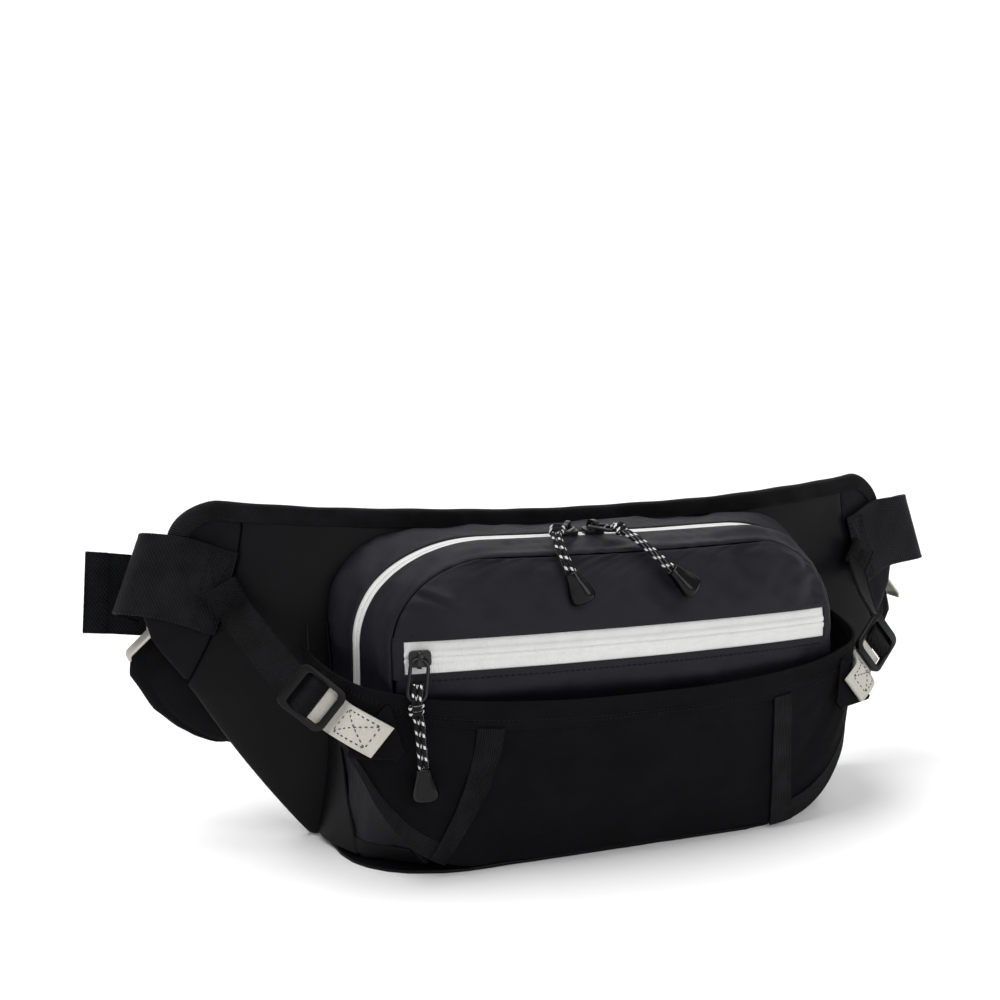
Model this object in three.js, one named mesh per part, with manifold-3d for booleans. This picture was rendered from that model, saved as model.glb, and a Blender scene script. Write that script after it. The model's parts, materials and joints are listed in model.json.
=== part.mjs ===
// A zipped waist pack: a padded back panel with two wings, a panelled main compartment with a
// two-slider zip round its top, a front zip, a stretch pocket, compression straps and a 50 mm belt.
// Millimetres, +X to the wearer's front right, -Y to the front, +Z up. The pack stands on its base.
import * as THREE from "three";
import { mergeVertices } from "three/addons/utils/BufferGeometryUtils.js";
import Module from "manifold-3d";

const wasm = await Module();
wasm.setup();

// Driving dimensions. Inside the bag group, y = 0 is the front face of the back panel.
const BACK_FACE_Y = 30; // the back panel's front face, behind the middle of the base
const GAP = 0.4; // clearance between pieces that are sewn or pressed together
const CLOTH = 2; // thickness of a sewn panel
const TOP_CENTRE = 191; // height of the back panel in the middle
const TOP_RISE = 11; // how much higher its top edge is at the wings
const WING_CORNER = 236; // half length of the top edge
const WING_START = 80; // half width of the flat middle of the back panel
const BEND_LOW = 0.0009; // backward bend of the wings at their lower edge
const BEND_HIGH = 0.0014; // and at their top edge
const FOAM = 7;
const MAIN_HALF = 160; // half width of the main compartment at the back
const MAIN_TOP = 185.5;
const CORNER_WIDE = [[0, 40], [0.57, 75], [1, 62]]; // width of its top corners, by share of the depth
const CORNER_TALL = [[0, 44], [0.57, 58], [1, 50]]; // and their height
const MAIN_DEPTH = 64; // from the back panel to the side edge of the front
const FRONT_SHRINK = 19; // how much narrower the front is than the back, each side
const FRONT_DROP = 8.5; // and how much lower
const TOP_BACK = 14; // how far the front leans back from the pocket to its top edge
const FOOT_ROUND = 25; // how far the front's lower corners are cut in
const POCKET_RECESS = 12; // how far the front panel stands back inside the stretch pocket
const FOOT_BACK = 8; // how far the front comes back towards its foot
const REAR_TUCK = 4; // how much the roof dips where it meets the back panel
const ZIP_FROM = 0.5; // share of the depth where the main zip starts
const ZIP_TO = 0.66; // and ends
const ZIP_FOOT = 4; // the zip starts this many steps of the arch above the foot
const BASE_Z = 2.2; // thickness of the base panel
const CROWN = 22; // how far the front bulges between its side edges
const CROWN_TILT = THREE.MathUtils.degToRad(9); // the bulge rises a little towards the middle
const FRONT_ZIP_Z = 123;
const FRONT_ZIP_HALF = 133.5; // half length of the front zip
const ZIP_BAND = 19; // width of the coated tape
const ZIP_TAPE = 1.2;
const COIL = 5.5;
const POCKET_OUT = 92; // how far the stretch pocket stands out from the back panel
const BELT = 50; // belt webbing width
const WEBBING = 1.8; // belt webbing thickness
const STRAP = 20; // compression strap width
const STRAP_THICK = 1.6;
const CORD_RADIUS = 2.7; // the doubled 3 mm pull cord, as one tube
const CORD_SIDES = 8;
const PULL_RING = [12, 25, 2]; // width, length, thickness
const CORD_END = [7, 14, 19, 8]; // width at the cord, width at the tip, length, thickness
const BUCKLE = { x: 0, y: 88, z: 130, height: 62, depth: 13 };

const FRONT_HALF = MAIN_HALF - FRONT_SHRINK;
const CROWN_RADIUS = (FRONT_HALF ** 2 + CROWN ** 2) / (2 * CROWN);

const v3 = (x, y, z) => new THREE.Vector3(x, y, z);
const { lerp, clamp, smoothstep } = THREE.MathUtils;

const finish = {
  navy: { color: 0x14161f, roughness: 0.62, metalness: 0 },
  coated: { color: 0x0c0d0f, roughness: 0.5, metalness: 0 },
  webbing: { color: 0x0b0b0d, roughness: 0.85, metalness: 0 },
  stretch: { color: 0x09090b, roughness: 0.9, metalness: 0 },
  foam: { color: 0x303236, roughness: 0.95, metalness: 0 },
  white: { color: 0xdedddd, roughness: 0.45, metalness: 0 },
  cream: { color: 0xcfcac0, roughness: 0.85, metalness: 0 },
  plastic: { color: 0x101113, roughness: 0.38, metalness: 0 },
  metal: { color: 0x1c1d20, roughness: 0.3, metalness: 0.8 },
  cord: { color: 0x2a2a2c, roughness: 0.8, metalness: 0 },
};
for (const name in finish) finish[name] = new THREE.MeshStandardMaterial(finish[name]);

const bag = new THREE.Group();
bag.position.y = BACK_FACE_Y;

function add(name, geometry, material) {
  const mesh = new THREE.Mesh(geometry, material);
  mesh.name = name;
  bag.add(mesh);
  return mesh;
}

// ---------- closed solids from grids and sections ----------

// An indexed mesh whose faces are turned outwards.
function closedMesh(points, triangles) {
  let volume = 0;
  for (const [a, b, c] of triangles) volume += points[a].dot(points[b].clone().cross(points[c]));
  const index = triangles.flatMap(([a, b, c]) => (volume < 0 ? [a, c, b] : [a, b, c]));
  const geometry = new THREE.BufferGeometry().setFromPoints(points);
  geometry.setIndex(index);
  geometry.computeVertexNormals();
  return geometry;
}

// A slab on the surface point(u, v), between two offsets along its normal (u cross v).
function slab(point, columns, rows, low, high) {
  const step = 1e-3;
  const at = (i, j, offset) => {
    const u = i / columns;
    const v = j / rows;
    const along = point(Math.min(u + step, 1), v).sub(point(Math.max(u - step, 0), v));
    const up = point(u, Math.min(v + step, 1)).sub(point(u, Math.max(v - step, 0)));
    return point(u, v).addScaledVector(along.cross(up).normalize(), offset);
  };
  const points = [];
  for (const offset of [low, high])
    for (let j = 0; j <= rows; j++) for (let i = 0; i <= columns; i++) points.push(at(i, j, offset));
  const layer = (columns + 1) * (rows + 1);
  const id = (i, j, side) => side * layer + j * (columns + 1) + i;
  const triangles = [];
  const quad = (a, b, c, d) => triangles.push([a, b, c], [a, c, d]);
  for (let j = 0; j < rows; j++)
    for (let i = 0; i < columns; i++) {
      quad(id(i, j, 1), id(i + 1, j, 1), id(i + 1, j + 1, 1), id(i, j + 1, 1));
      quad(id(i, j, 0), id(i, j + 1, 0), id(i + 1, j + 1, 0), id(i + 1, j, 0));
    }
  for (let i = 0; i < columns; i++) {
    quad(id(i, 0, 0), id(i + 1, 0, 0), id(i + 1, 0, 1), id(i, 0, 1));
    quad(id(i, rows, 1), id(i + 1, rows, 1), id(i + 1, rows, 0), id(i, rows, 0));
  }
  for (let j = 0; j < rows; j++) {
    quad(id(0, j, 0), id(0, j, 1), id(0, j + 1, 1), id(0, j + 1, 0));
    quad(id(columns, j, 1), id(columns, j, 0), id(columns, j + 1, 0), id(columns, j + 1, 1));
  }
  return closedMesh(points, triangles);
}

// A solid lofted through loops of the same number of points, with flat caps cut from the outline.
function loft(loops, outline) {
  const count = loops[0].length;
  const triangles = [];
  for (let k = 0; k + 1 < loops.length; k++)
    for (let i = 0; i < count; i++) {
      const a = k * count + i;
      const b = k * count + ((i + 1) % count);
      triangles.push([a, b, b + count], [a, b + count, a + count]);
    }
  const last = (loops.length - 1) * count;
  const clockwise = THREE.ShapeUtils.isClockWise(outline);
  for (const face of THREE.ShapeUtils.triangulateShape(outline, [])) {
    const [a, b, c] = clockwise ? face.toReversed() : face;
    triangles.push([a, c, b], [last + a, last + b, last + c]);
  }
  return closedMesh(loops.flat(), triangles);
}

// A flat strap through stations { at, across }: across is the direction of its width.
function strap(stations, width, thickness, steps) {
  const centre = new THREE.CatmullRomCurve3(stations.map((s) => s.at), false, "centripetal");
  const across = new THREE.CatmullRomCurve3(stations.map((s) => s.across));
  const point = (u, v) =>
    centre.getPoint(u).addScaledVector(across.getPoint(u).normalize(), (v - 0.5) * width);
  return slab(point, steps, 1, -thickness / 2, thickness / 2);
}

function roundedOutline(width, height, radius, arcSteps = 3) {
  const shape = [];
  const corners = [[1, 1, 0], [-1, 1, 90], [-1, -1, 180], [1, -1, 270]];
  for (const [sx, sy, start] of corners)
    for (let i = 0; i <= arcSteps; i++) {
      const angle = THREE.MathUtils.degToRad(start + (90 * i) / arcSteps);
      shape.push(
        new THREE.Vector2(
          sx * (width / 2 - radius) + radius * Math.cos(angle),
          sy * (height / 2 - radius) + radius * Math.sin(angle),
        ),
      );
    }
  return shape;
}

// A plate with rounded corners and rounded slots { x, width, height }, centred, lying in XY.
function slottedPlate(width, height, radius, thickness, slots) {
  const shape = new THREE.Shape(roundedOutline(width, height, radius));
  for (const slot of slots) {
    const hole = roundedOutline(slot.width, slot.height, Math.min(slot.width, slot.height) * 0.3, 2);
    shape.holes.push(new THREE.Path(hole.map((p) => p.clone().add(new THREE.Vector2(slot.x, 0)))));
  }
  const options = { depth: thickness, bevelEnabled: false };
  return new THREE.ExtrudeGeometry(shape, options).translate(0, 0, -thickness / 2);
}

function box(x0, x1, y0, y1, z0, z1) {
  const geometry = new THREE.BoxGeometry(x1 - x0, y1 - y0, z1 - z0);
  return geometry.translate((x0 + x1) / 2, (y0 + y1) / 2, (z0 + z1) / 2);
}

function solid(geometry) {
  const bare = geometry.clone();
  bare.deleteAttribute("normal");
  bare.deleteAttribute("uv");
  const merged = mergeVertices(bare, 1e-4);
  return new wasm.Manifold(
    new wasm.Mesh({
      numProp: 3,
      vertProperties: new Float32Array(merged.attributes.position.array),
      triVerts: new Uint32Array(merged.index.array),
    }),
  );
}

function fromSolid(made) {
  const mesh = made.getMesh();
  const geometry = new THREE.BufferGeometry();
  geometry.setAttribute("position", new THREE.BufferAttribute(mesh.vertProperties, 3));
  geometry.setIndex(new THREE.BufferAttribute(mesh.triVerts, 1));
  geometry.computeVertexNormals();
  return geometry;
}

function union(...geometries) {
  return fromSolid(geometries.map(solid).reduce((a, b) => a.add(b)));
}

// Straight lines between [position, value] stations.
function between(stations, position) {
  if (position <= stations[0][0]) return stations[0][1];
  for (let i = 1; i < stations.length; i++) {
    const [p0, value0] = stations[i - 1];
    const [p1, value1] = stations[i];
    if (position <= p1) return lerp(value0, value1, (position - p0) / (p1 - p0));
  }
  return stations.at(-1)[1];
}

// ---------- back panel and wings ----------

// How far back the front face of the back panel lies at a place.
function backY(x, z) {
  const reach = Math.max(Math.abs(x) - WING_START, 0);
  return lerp(BEND_LOW, BEND_HIGH, clamp((z - 90) / 110, 0, 1)) * reach * reach;
}

const topEdge = (x) => TOP_CENTRE + TOP_RISE * Math.min(Math.abs(x) / WING_CORNER, 1) ** 1.6;
const SEAM_LOW = 98; // height where the wing seam meets the lower outline
const NOMINAL_TOP = TOP_CENTRE + TOP_RISE;
// Half width of the middle panel: the slanted lower outline, then the wing seam above it.
function middleHalf(z) {
  if (z < SEAM_LOW) return 172 + 0.83 * z - 0.0012 * z * z;
  return 206 + 33 * ((NOMINAL_TOP - z) / (NOMINAL_TOP - SEAM_LOW)) ** 1.8;
}
const WING_TIP = [[98, 241], [112, 252], [122, 259], [136, 263], [150, 262], [175, 255], [190, 247], [202, 236]];
const PAD_TIP = [[57, 221], [62, 236], [68, 246], [78, 258], [98, 270], [112, 269], [124, 257], [160, 254], [190, 240]];

function onBack(x, level, behind = 0) {
  const z = (level * topEdge(x)) / NOMINAL_TOP;
  return v3(x, backY(x, z) + behind, z);
}

const middlePanel = (u, v) => {
  const level = lerp(0, NOMINAL_TOP, v); // its lower edge stands on the ground with the base
  return onBack((2 * u - 1) * (middleHalf(level) - GAP), level);
};
add("back_panel_front", slab(middlePanel, 24, 7, -CLOTH, 0), finish.coated);

for (const [side, sign] of [["left", -1], ["right", 1]]) {
  const wing = (u, v) => {
    const level = lerp(SEAM_LOW + 1, NOMINAL_TOP, v);
    return onBack(sign * lerp(middleHalf(level) + 2 * GAP, between(WING_TIP, level), u), level);
  };
  const inFront = sign < 0 ? [0, CLOTH] : [-CLOTH, 0];
  add(`wing_panel_${side}`, slab(wing, 5, 8, ...inFront), finish.navy);

  // The wing's rear pad hangs lower and further out than the front layer, and bows backwards.
  const pad = (u, v) => {
    const z = lerp(58, 190, v);
    const x = lerp(199, between(PAD_TIP, z), u);
    return v3(sign * x, backY(x, z) + 3.5 + 12 * u ** 1.3, z);
  };
  add(`wing_pad_${side}`, slab(pad, 5, 8, ...(sign < 0 ? [0, 4] : [-4, 0])), finish.stretch);
}

const FOAM_INSET = 24;
const MESH_HALF = 196;
const foamPanel = (u, v) => {
  const z = lerp(FOAM_INSET, TOP_CENTRE - FOAM_INSET, v);
  const half = Math.min(middleHalf(z) - 3, MESH_HALF) - FOAM_INSET;
  return v3((2 * u - 1) * half, backY((2 * u - 1) * half, z) + CLOTH + GAP, z);
};
add("back_foam_pad", slab(foamPanel, 20, 3, -FOAM, 0), finish.foam);

// The rear mesh lining runs over the foam and comes down to the front layer at its edges.
const MESH_LEVELS = [0, 11, 21, 60, 100, 140, 169, 180, TOP_CENTRE - 0.5];
const meshPanel = (u, v) => {
  const row = v * (MESH_LEVELS.length - 1);
  const z = between(MESH_LEVELS.map((level, i) => [i, level]), row);
  const half = Math.min(middleHalf(z) - 3, MESH_HALF);
  const x = (2 * u - 1) * half;
  const rise = Math.min((half - Math.abs(x)) / 18, (z - 10.5) / 10, (TOP_CENTRE - 10.5 - z) / 10);
  return v3(x, backY(x, z) + CLOTH + 2 * GAP + (FOAM + 2 * GAP) * clamp(rise, 0, 1), z);
};
const meshRows = MESH_LEVELS.length - 1;
add("back_mesh_lining", slab(meshPanel, 20, meshRows, -1.6, 0), finish.stretch);

// The ribbed binding wraps the top edge from wing corner to wing corner.
function bindingLoop(x) {
  const z = topEdge(x);
  const out = 1.3;
  const front = -GAP;
  const back = 2 * CLOTH + 2 * GAP + 1.2;
  const low = z - 9;
  const section = [
    [front - out, low], [front - out, z + GAP], [front, z + GAP + out], [back, z + GAP + out],
    [back + out, z + GAP], [back + out, low], [back, low], [back, z + GAP], [front, z + GAP], [front, low],
  ];
  return section.map(([dy, height]) => v3(x, backY(x, Math.min(height, z)) + dy, height));
}
const bindingStations = [];
for (let i = 0; i <= 18; i++) bindingStations.push(bindingLoop(lerp(-204, 204, i / 18)));
const bindingOutline = bindingLoop(0).map((p) => new THREE.Vector2(p.y, p.z));
add("top_binding", loft(bindingStations, bindingOutline), finish.webbing);

// ---------- main compartment ----------

const bulge = (x) => Math.sqrt(CROWN_RADIUS ** 2 - Math.min(Math.abs(x), FRONT_HALF) ** 2)
  - Math.sqrt(CROWN_RADIUS ** 2 - FRONT_HALF ** 2);

const topBack = (z) => TOP_BACK * clamp((z - 105) / 77, 0, 1) ** 2;
const footRound = (z) => FOOT_ROUND * Math.max(0, 1 - z / 55) ** 2.4;

// A place on the compartment's wall: a runs from the left foot over the top to the right foot,
// t from the back panel to the front.
function wall(a, t) {
  const foot = BASE_Z + 1;
  const curl = Math.max(0, (t - 0.15) / 0.85) ** 1.4;
  const tuck = Math.max(0, 1 - t / 0.35) ** 2;
  const half = MAIN_HALF - FRONT_SHRINK * curl - 2 * tuck;
  const top = MAIN_TOP - FRONT_DROP * curl - REAR_TUCK * tuck;
  const wide = between(CORNER_WIDE, t);
  const tall = between(CORNER_TALL, t);
  const side = top - tall - foot;
  const arc = (Math.PI / 4) * (wide + tall);
  const roof = 2 * (half - wide);
  const along = Math.min(a, 1 - a) * (2 * side + 2 * arc + roof);
  const mirror = a <= 0.5 ? -1 : 1;
  let x = half;
  let z = foot + along;
  if (along > side + arc) {
    x = half - wide - (along - side - arc);
    z = top;
  } else if (along > side) {
    const angle = ((along - side) / arc) * (Math.PI / 2);
    x = half - wide + wide * Math.cos(angle);
    z = top - tall + tall * Math.sin(angle);
  }
  x += 8 * Math.max(0, 1 - z / 60) ** 2 * (1 - t); // the foot flares out towards the back panel
  x -= footRound(z) * Math.max(0, (t - 0.7) / 0.3) ** 2;
  const front = -MAIN_DEPTH - bulge(x) * Math.cos(CROWN_TILT) + topBack(z) + FOOT_BACK * (1 - smoothstep(z, 0, 70));
  return v3(mirror * x, lerp(backY(x, z) - GAP, front, t), z);
}

const ARCH_STEPS = 34;
function wallBand(from, to, low, high, rows, cut = 0) {
  const start = cut / ARCH_STEPS; // whole steps, so that bands over each other keep the same facets
  const point = (u, v) => wall(lerp(start, 1 - start, u), lerp(from, to, v));
  return slab(point, ARCH_STEPS - 2 * cut, rows, low, high);
}
const SEAM = 0.005; // share of the depth left open between two bands
add("rear_gusset", wallBand(0, ZIP_FROM - SEAM, 0, CLOTH, 2), finish.navy);
add("main_zip_tape", wallBand(ZIP_FROM, ZIP_TO, 0, ZIP_TAPE, 1, ZIP_FOOT), finish.white);
add("front_gusset", wallBand(ZIP_TO + SEAM, 0.985, 0, CLOTH, 3), finish.navy);
const coilMiddle = (ZIP_FROM + ZIP_TO) / 2;
const coilShare = COIL / MAIN_DEPTH / 2;
const coilLow = ZIP_TAPE + 2 * GAP;
const coilFrom = coilMiddle - coilShare;
const coilBand = wallBand(coilFrom, coilMiddle + coilShare, coilLow, coilLow + 1.8, 1, ZIP_FOOT + 1);
add("main_zip_coil", coilBand, finish.white);
// Below each end of the zip a patch closes the wall down to the foot.
for (const [side, foot, end] of [["left", 0, ZIP_FOOT - 0.03], ["right", ARCH_STEPS - ZIP_FOOT + 0.03, ARCH_STEPS]]) {
  const point = (u, v) => wall(lerp(foot, end, u) / ARCH_STEPS, lerp(ZIP_FROM, ZIP_TO, v));
  add(`side_patch_${side}`, slab(point, ZIP_FOOT, 1, 0, CLOTH), finish.navy);
}

// The front face: each level is an arc in a slightly tilted plane, so a slider can follow it.
function frontFace(x, z, recess = 0) {
  const rise = bulge(x) * Math.sin(CROWN_TILT) * clamp(z / 60, 0, 1) * (1 - smoothstep(z, 140, 176));
  return v3(x, -MAIN_DEPTH - 1 - bulge(x) * Math.cos(CROWN_TILT) + topBack(z) + recess, z + rise);
}
function frontHalfAt(z) {
  const [wide, tall] = [CORNER_WIDE.at(-1)[1], CORNER_TALL.at(-1)[1]];
  const over = Math.max(0, z - (MAIN_TOP - FRONT_DROP - tall)) / tall;
  return FRONT_HALF - 1 - wide + wide * Math.sqrt(Math.max(0, 1 - over ** 2)) - footRound(z);
}
const ZIP_LOW = FRONT_ZIP_Z - ZIP_BAND / 2;
const ZIP_HIGH = FRONT_ZIP_Z + ZIP_BAND / 2;
function frontBand(low, high, half, thickness, rows, behind = 0, columns = 18) {
  const point = (u, v) => {
    const z = lerp(low, high, v);
    return frontFace((2 * u - 1) * half(z), z);
  };
  return slab(point, columns, rows, -thickness - behind, -behind);
}
const FRONT_TOP = MAIN_TOP - FRONT_DROP - 1;
add("front_panel_upper", frontBand(ZIP_HIGH + GAP, FRONT_TOP, frontHalfAt, CLOTH, 7), finish.navy);
add("front_zip_tape", frontBand(ZIP_LOW, ZIP_HIGH, () => FRONT_ZIP_HALF, ZIP_TAPE, 1), finish.white);
add(
  "front_zip_coil",
  frontBand(FRONT_ZIP_Z - COIL / 2, FRONT_ZIP_Z + COIL / 2, () => FRONT_ZIP_HALF - 5, 1.8, 1, ZIP_TAPE + GAP),
  finish.white,
);
// Below the zip the front panel runs down inside the stretch pocket, a little further back.
const lowerPanel = (u, v) => {
  const z = lerp(BASE_Z + GAP, ZIP_LOW - GAP, v);
  const recess = POCKET_RECESS * (1 - smoothstep(z, 98, 114)) + FOOT_BACK * 0.7 * (1 - smoothstep(z, 0, 70));
  return frontFace((2 * u - 1) * (frontHalfAt(z) - 2), z, recess);
};
add("front_panel_lower", slab(lowerPanel, 16, 6, -CLOTH, 0), finish.navy);

// The flat base, wider at the back where the foot flares, with round front corners.
const BASE_REAR = 166;
const BASE_DEPTH = 72;
const baseShape = new THREE.Shape();
baseShape.moveTo(-BASE_REAR, -GAP);
baseShape.lineTo(-BASE_REAR + 4, -BASE_DEPTH * 0.4);
baseShape.quadraticCurveTo(-BASE_REAR + 14, -BASE_DEPTH + 4, -BASE_REAR + 56, -BASE_DEPTH);
baseShape.lineTo(BASE_REAR - 56, -BASE_DEPTH);
baseShape.quadraticCurveTo(BASE_REAR - 14, -BASE_DEPTH + 4, BASE_REAR - 4, -BASE_DEPTH * 0.4);
baseShape.lineTo(BASE_REAR, -GAP);
const baseGeometry = new THREE.ExtrudeGeometry(baseShape, { depth: BASE_Z, bevelEnabled: false, curveSegments: 5 });
add("base_panel", baseGeometry, finish.coated);

// ---------- stretch pocket ----------

// The pocket's upper and lower edges, from the left wing round the front to the right wing.
const bothSides = (list) => [...list, ...list.slice(0, -1).reverse().map(([x, y, z]) => [-x, y, z])];
const smooth = (list) => new THREE.CatmullRomCurve3(bothSides(list).map((p) => v3(...p)));
const pocketTop = smooth([
  [-176, 5, 120], [-173, -24, 116.5], [-166, -52, 112.5], [-157, -64.5, 109.5], [-143, -71, 106],
  [-124, -76.5, 103.4], [-96, -83, 102.2], [-50, -90, 101.2], [0, -POCKET_OUT, 101],
]);
const pocketFoot = smooth([
  [-174, 4, 97], [-171.5, -24, 89], [-165, -49, 73], [-157, -59, 58], [-148, -67.5, 38],
  [-131, -73, 17], [-108, -75, 4.5], [-60, -76, 2.6], [0, -77, 2.6],
]);
function pocket(u, v) {
  const foot = pocketFoot.getPoint(u);
  const top = pocketTop.getPoint(u);
  const round = 1 - (1 - v) ** 2.2; // the cloth bellies out just above its foot
  return v3(lerp(foot.x, top.x, round), lerp(foot.y, top.y, round), lerp(foot.z, top.z, v));
}
const BAND_SHARE = 0.84; // the sewn band is the top of the pocket
const pocketSpan = (from, to, low, high) => (u, v) => pocket(lerp(from, to, u), lerp(low, high, v));
add("stretch_pocket", slab(pocketSpan(0.01, 0.99, 0, BAND_SHARE - 0.006), 26, 5, -1.5, 0), finish.stretch);
add("pocket_top_band", slab(pocketSpan(0, 1, BAND_SHARE, 1), 26, 1, -1.6, 0.6), finish.webbing);
for (const [side, at] of [["left", 0.384], ["right", 0.616]]) {
  const lean = side === "left" ? -0.016 : 0.016;
  const tape = (u, v) => {
    const level = lerp(0.01, BAND_SHARE - 0.01, v);
    const middle = at + lean * (1 - level) ** 1.5;
    return pocket(lerp(middle - 0.0135, middle + 0.0135, u), level);
  };
  add(`pocket_tape_${side}`, slab(tape, 1, 8, GAP, GAP + 1), finish.webbing);
}
for (const [side, from, to] of [["left", 0.1, 0.35], ["right", 0.9, 0.65]]) {
  const edge = (u, v) => pocket(lerp(from, to, u), lerp(0.015, 0.13, v));
  const outside = side === "left" ? [GAP, GAP + 1.1] : [-GAP - 1.1, -GAP];
  add(`pocket_edge_binding_${side}`, slab(edge, 12, 1, ...outside), finish.webbing);
}

// ---------- compression straps, one each side ----------

const LOCK = { width: 27, length: 31, thickness: 3 };
const strapLine = {
  tab: v3(-215, 21, 147),
  lockTop: v3(-193.6, -50.1, 112.2),
  lockFoot: v3(-172.6, -58.6, 94),
  sewn: v3(-150, -78, 81),
};

for (const [side, sign] of [["left", -1], ["right", 1]]) {
  const place = (p) => v3(sign * Math.abs(p.x), p.y, p.z);
  const top = place(strapLine.tab);
  const lockTop = place(strapLine.lockTop);
  const lockFoot = place(strapLine.lockFoot);
  const sewn = place(strapLine.sewn);
  const down = lockFoot.clone().sub(lockTop).normalize();
  const outward = v3(sign * 0.3, -0.93, 0.2);
  const across = down.clone().cross(outward).normalize();
  const normal = across.clone().cross(down).normalize();

  // Folded and bartacked end tab on the wing seam.
  const tabDown = v3(-sign * 0.5, -0.1, -0.86).normalize();
  const tabOut = v3(sign * 0.3, -1, 0).normalize();
  const tabAcross = tabDown.clone().cross(tabOut).normalize();
  const tabAt = top.clone().addScaledVector(tabOut, 7.8);
  const tabFrame = new THREE.Matrix4().makeBasis(tabAcross, tabDown, tabAcross.clone().cross(tabDown));
  const tabBox = new THREE.BoxGeometry(STRAP + 1.5, 17, 3.2).applyMatrix4(tabFrame);
  add(`strap_end_tab_${side}`, tabBox.translate(tabAt.x, tabAt.y, tabAt.z), finish.webbing);

  // The strap from the tab down to the lock's upper bar.
  const strapTop = tabAt.clone().addScaledVector(tabDown, 9.5);
  const strapFoot = lockTop.clone().addScaledVector(down, 2.2).addScaledVector(normal, -3.1);
  const middle = strapTop.clone().lerp(strapFoot, 0.5).add(v3(-sign * 1.5, -1, -3));
  const stations = [
    { at: strapTop, across: tabAcross },
    { at: middle, across: tabAcross.clone().lerp(across, 0.5) },
    { at: strapFoot, across },
  ];
  add(`compression_strap_${side}`, strap(stations, STRAP, STRAP_THICK, 8), finish.webbing);

  // Ladder lock: a frame with two slots, so three cross bars.
  const lockFrame = new THREE.Matrix4().makeBasis(down, across.clone().negate(), normal);
  const plate = slottedPlate(LOCK.length, LOCK.width, 5, LOCK.thickness, [
    { x: -6.6, width: 7, height: STRAP + 1.2 },
    { x: 6.4, width: 10, height: STRAP + 1.2 },
  ]).applyMatrix4(lockFrame);
  const lockMiddle = lockTop.clone().lerp(lockFoot, 0.5);
  add(`ladder_lock_${side}`, plate.translate(lockMiddle.x, lockMiddle.y, lockMiddle.z), finish.plastic);

  // The pale webbing tab from the lock's lower bar to the pocket corner, lying behind that bar.
  const tabStart = lockFoot.clone().addScaledVector(down, -1).addScaledVector(normal, -3);
  const tabPast = lockFoot.clone().addScaledVector(down, 3.6).addScaledVector(normal, -1.8);
  const tabMiddle = lockFoot.clone().lerp(sewn, 0.45).addScaledVector(normal, 3.4);
  const tabStations = [tabStart, tabPast, tabMiddle, sewn].map((at) => ({ at, across }));
  add(`pale_tab_${side}`, strap(tabStations, STRAP, 2, 6), finish.cream);

  // Triangular patch that carries the tab, on the pocket's upper corner.
  const under = sewn.clone().addScaledVector(normal, -4);
  const patchShape = new THREE.Shape([
    new THREE.Vector2(-19, -12), new THREE.Vector2(19, -12), new THREE.Vector2(19, -8), new THREE.Vector2(4, 14),
    new THREE.Vector2(-4, 14), new THREE.Vector2(-19, -8),
  ].map((p) => p.clone().multiplyScalar(0.9)));
  const patch = new THREE.ExtrudeGeometry(patchShape, { depth: 1.4, bevelEnabled: false });
  const patchFrame = new THREE.Matrix4().makeBasis(across, down.clone().negate(), across.clone().cross(down).negate());
  patch.applyMatrix4(patchFrame).translate(under.x, under.y, under.z);
  add(`corner_patch_${side}`, patch, finish.stretch);
}

// ---------- zip sliders and pulls ----------

const SLIDER_PLATE = 3; // height of the slider's plate
const HOOD = 8; // height of the hood over the ring
const RIDE = 0.6; // the slider's clearance over the tape
const PIVOT_HEIGHT = RIDE + SLIDER_PLATE + 1.6;

function hoodShape() {
  const shape = new THREE.Shape();
  shape.moveTo(-5, SLIDER_PLATE - 0.5);
  shape.lineTo(-5, SLIDER_PLATE + 1.5);
  shape.quadraticCurveTo(-5, HOOD, 0, HOOD);
  shape.quadraticCurveTo(5, HOOD, 5, SLIDER_PLATE + 1.5);
  shape.lineTo(5, SLIDER_PLATE - 0.5);
  shape.lineTo(3.4, SLIDER_PLATE - 0.5);
  shape.lineTo(3.4, SLIDER_PLATE + 2);
  shape.quadraticCurveTo(3.2, HOOD - 1.8, 0, HOOD - 1.8);
  shape.quadraticCurveTo(-3.2, HOOD - 1.8, -3.4, SLIDER_PLATE + 2);
  shape.lineTo(-3.4, SLIDER_PLATE - 0.5);
  return shape;
}

// at: on the tape; out: away from it; travel: along the zip; hang: where the pull points.
function makeSlider(name, place) {
  const { at, out, travel, hang } = place;
  const sideways = out.clone().cross(travel).normalize();
  const plate = new THREE.ExtrudeGeometry(new THREE.Shape(roundedOutline(12.5, 9, 2.4)), {
    depth: SLIDER_PLATE,
    bevelEnabled: false,
  });
  plate.applyMatrix4(new THREE.Matrix4().makeBasis(travel, sideways, out));
  const hood = new THREE.ExtrudeGeometry(hoodShape(), { depth: 2.6, bevelEnabled: false, curveSegments: 4 });
  hood.translate(0, 0, -1.3);
  hood.applyMatrix4(new THREE.Matrix4().makeBasis(hang, out, hang.clone().cross(out)));
  const body = union(plate, hood);
  const foot = at.clone().addScaledVector(out, RIDE);
  add(name, body.translate(foot.x, foot.y, foot.z), finish.metal);
}

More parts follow.
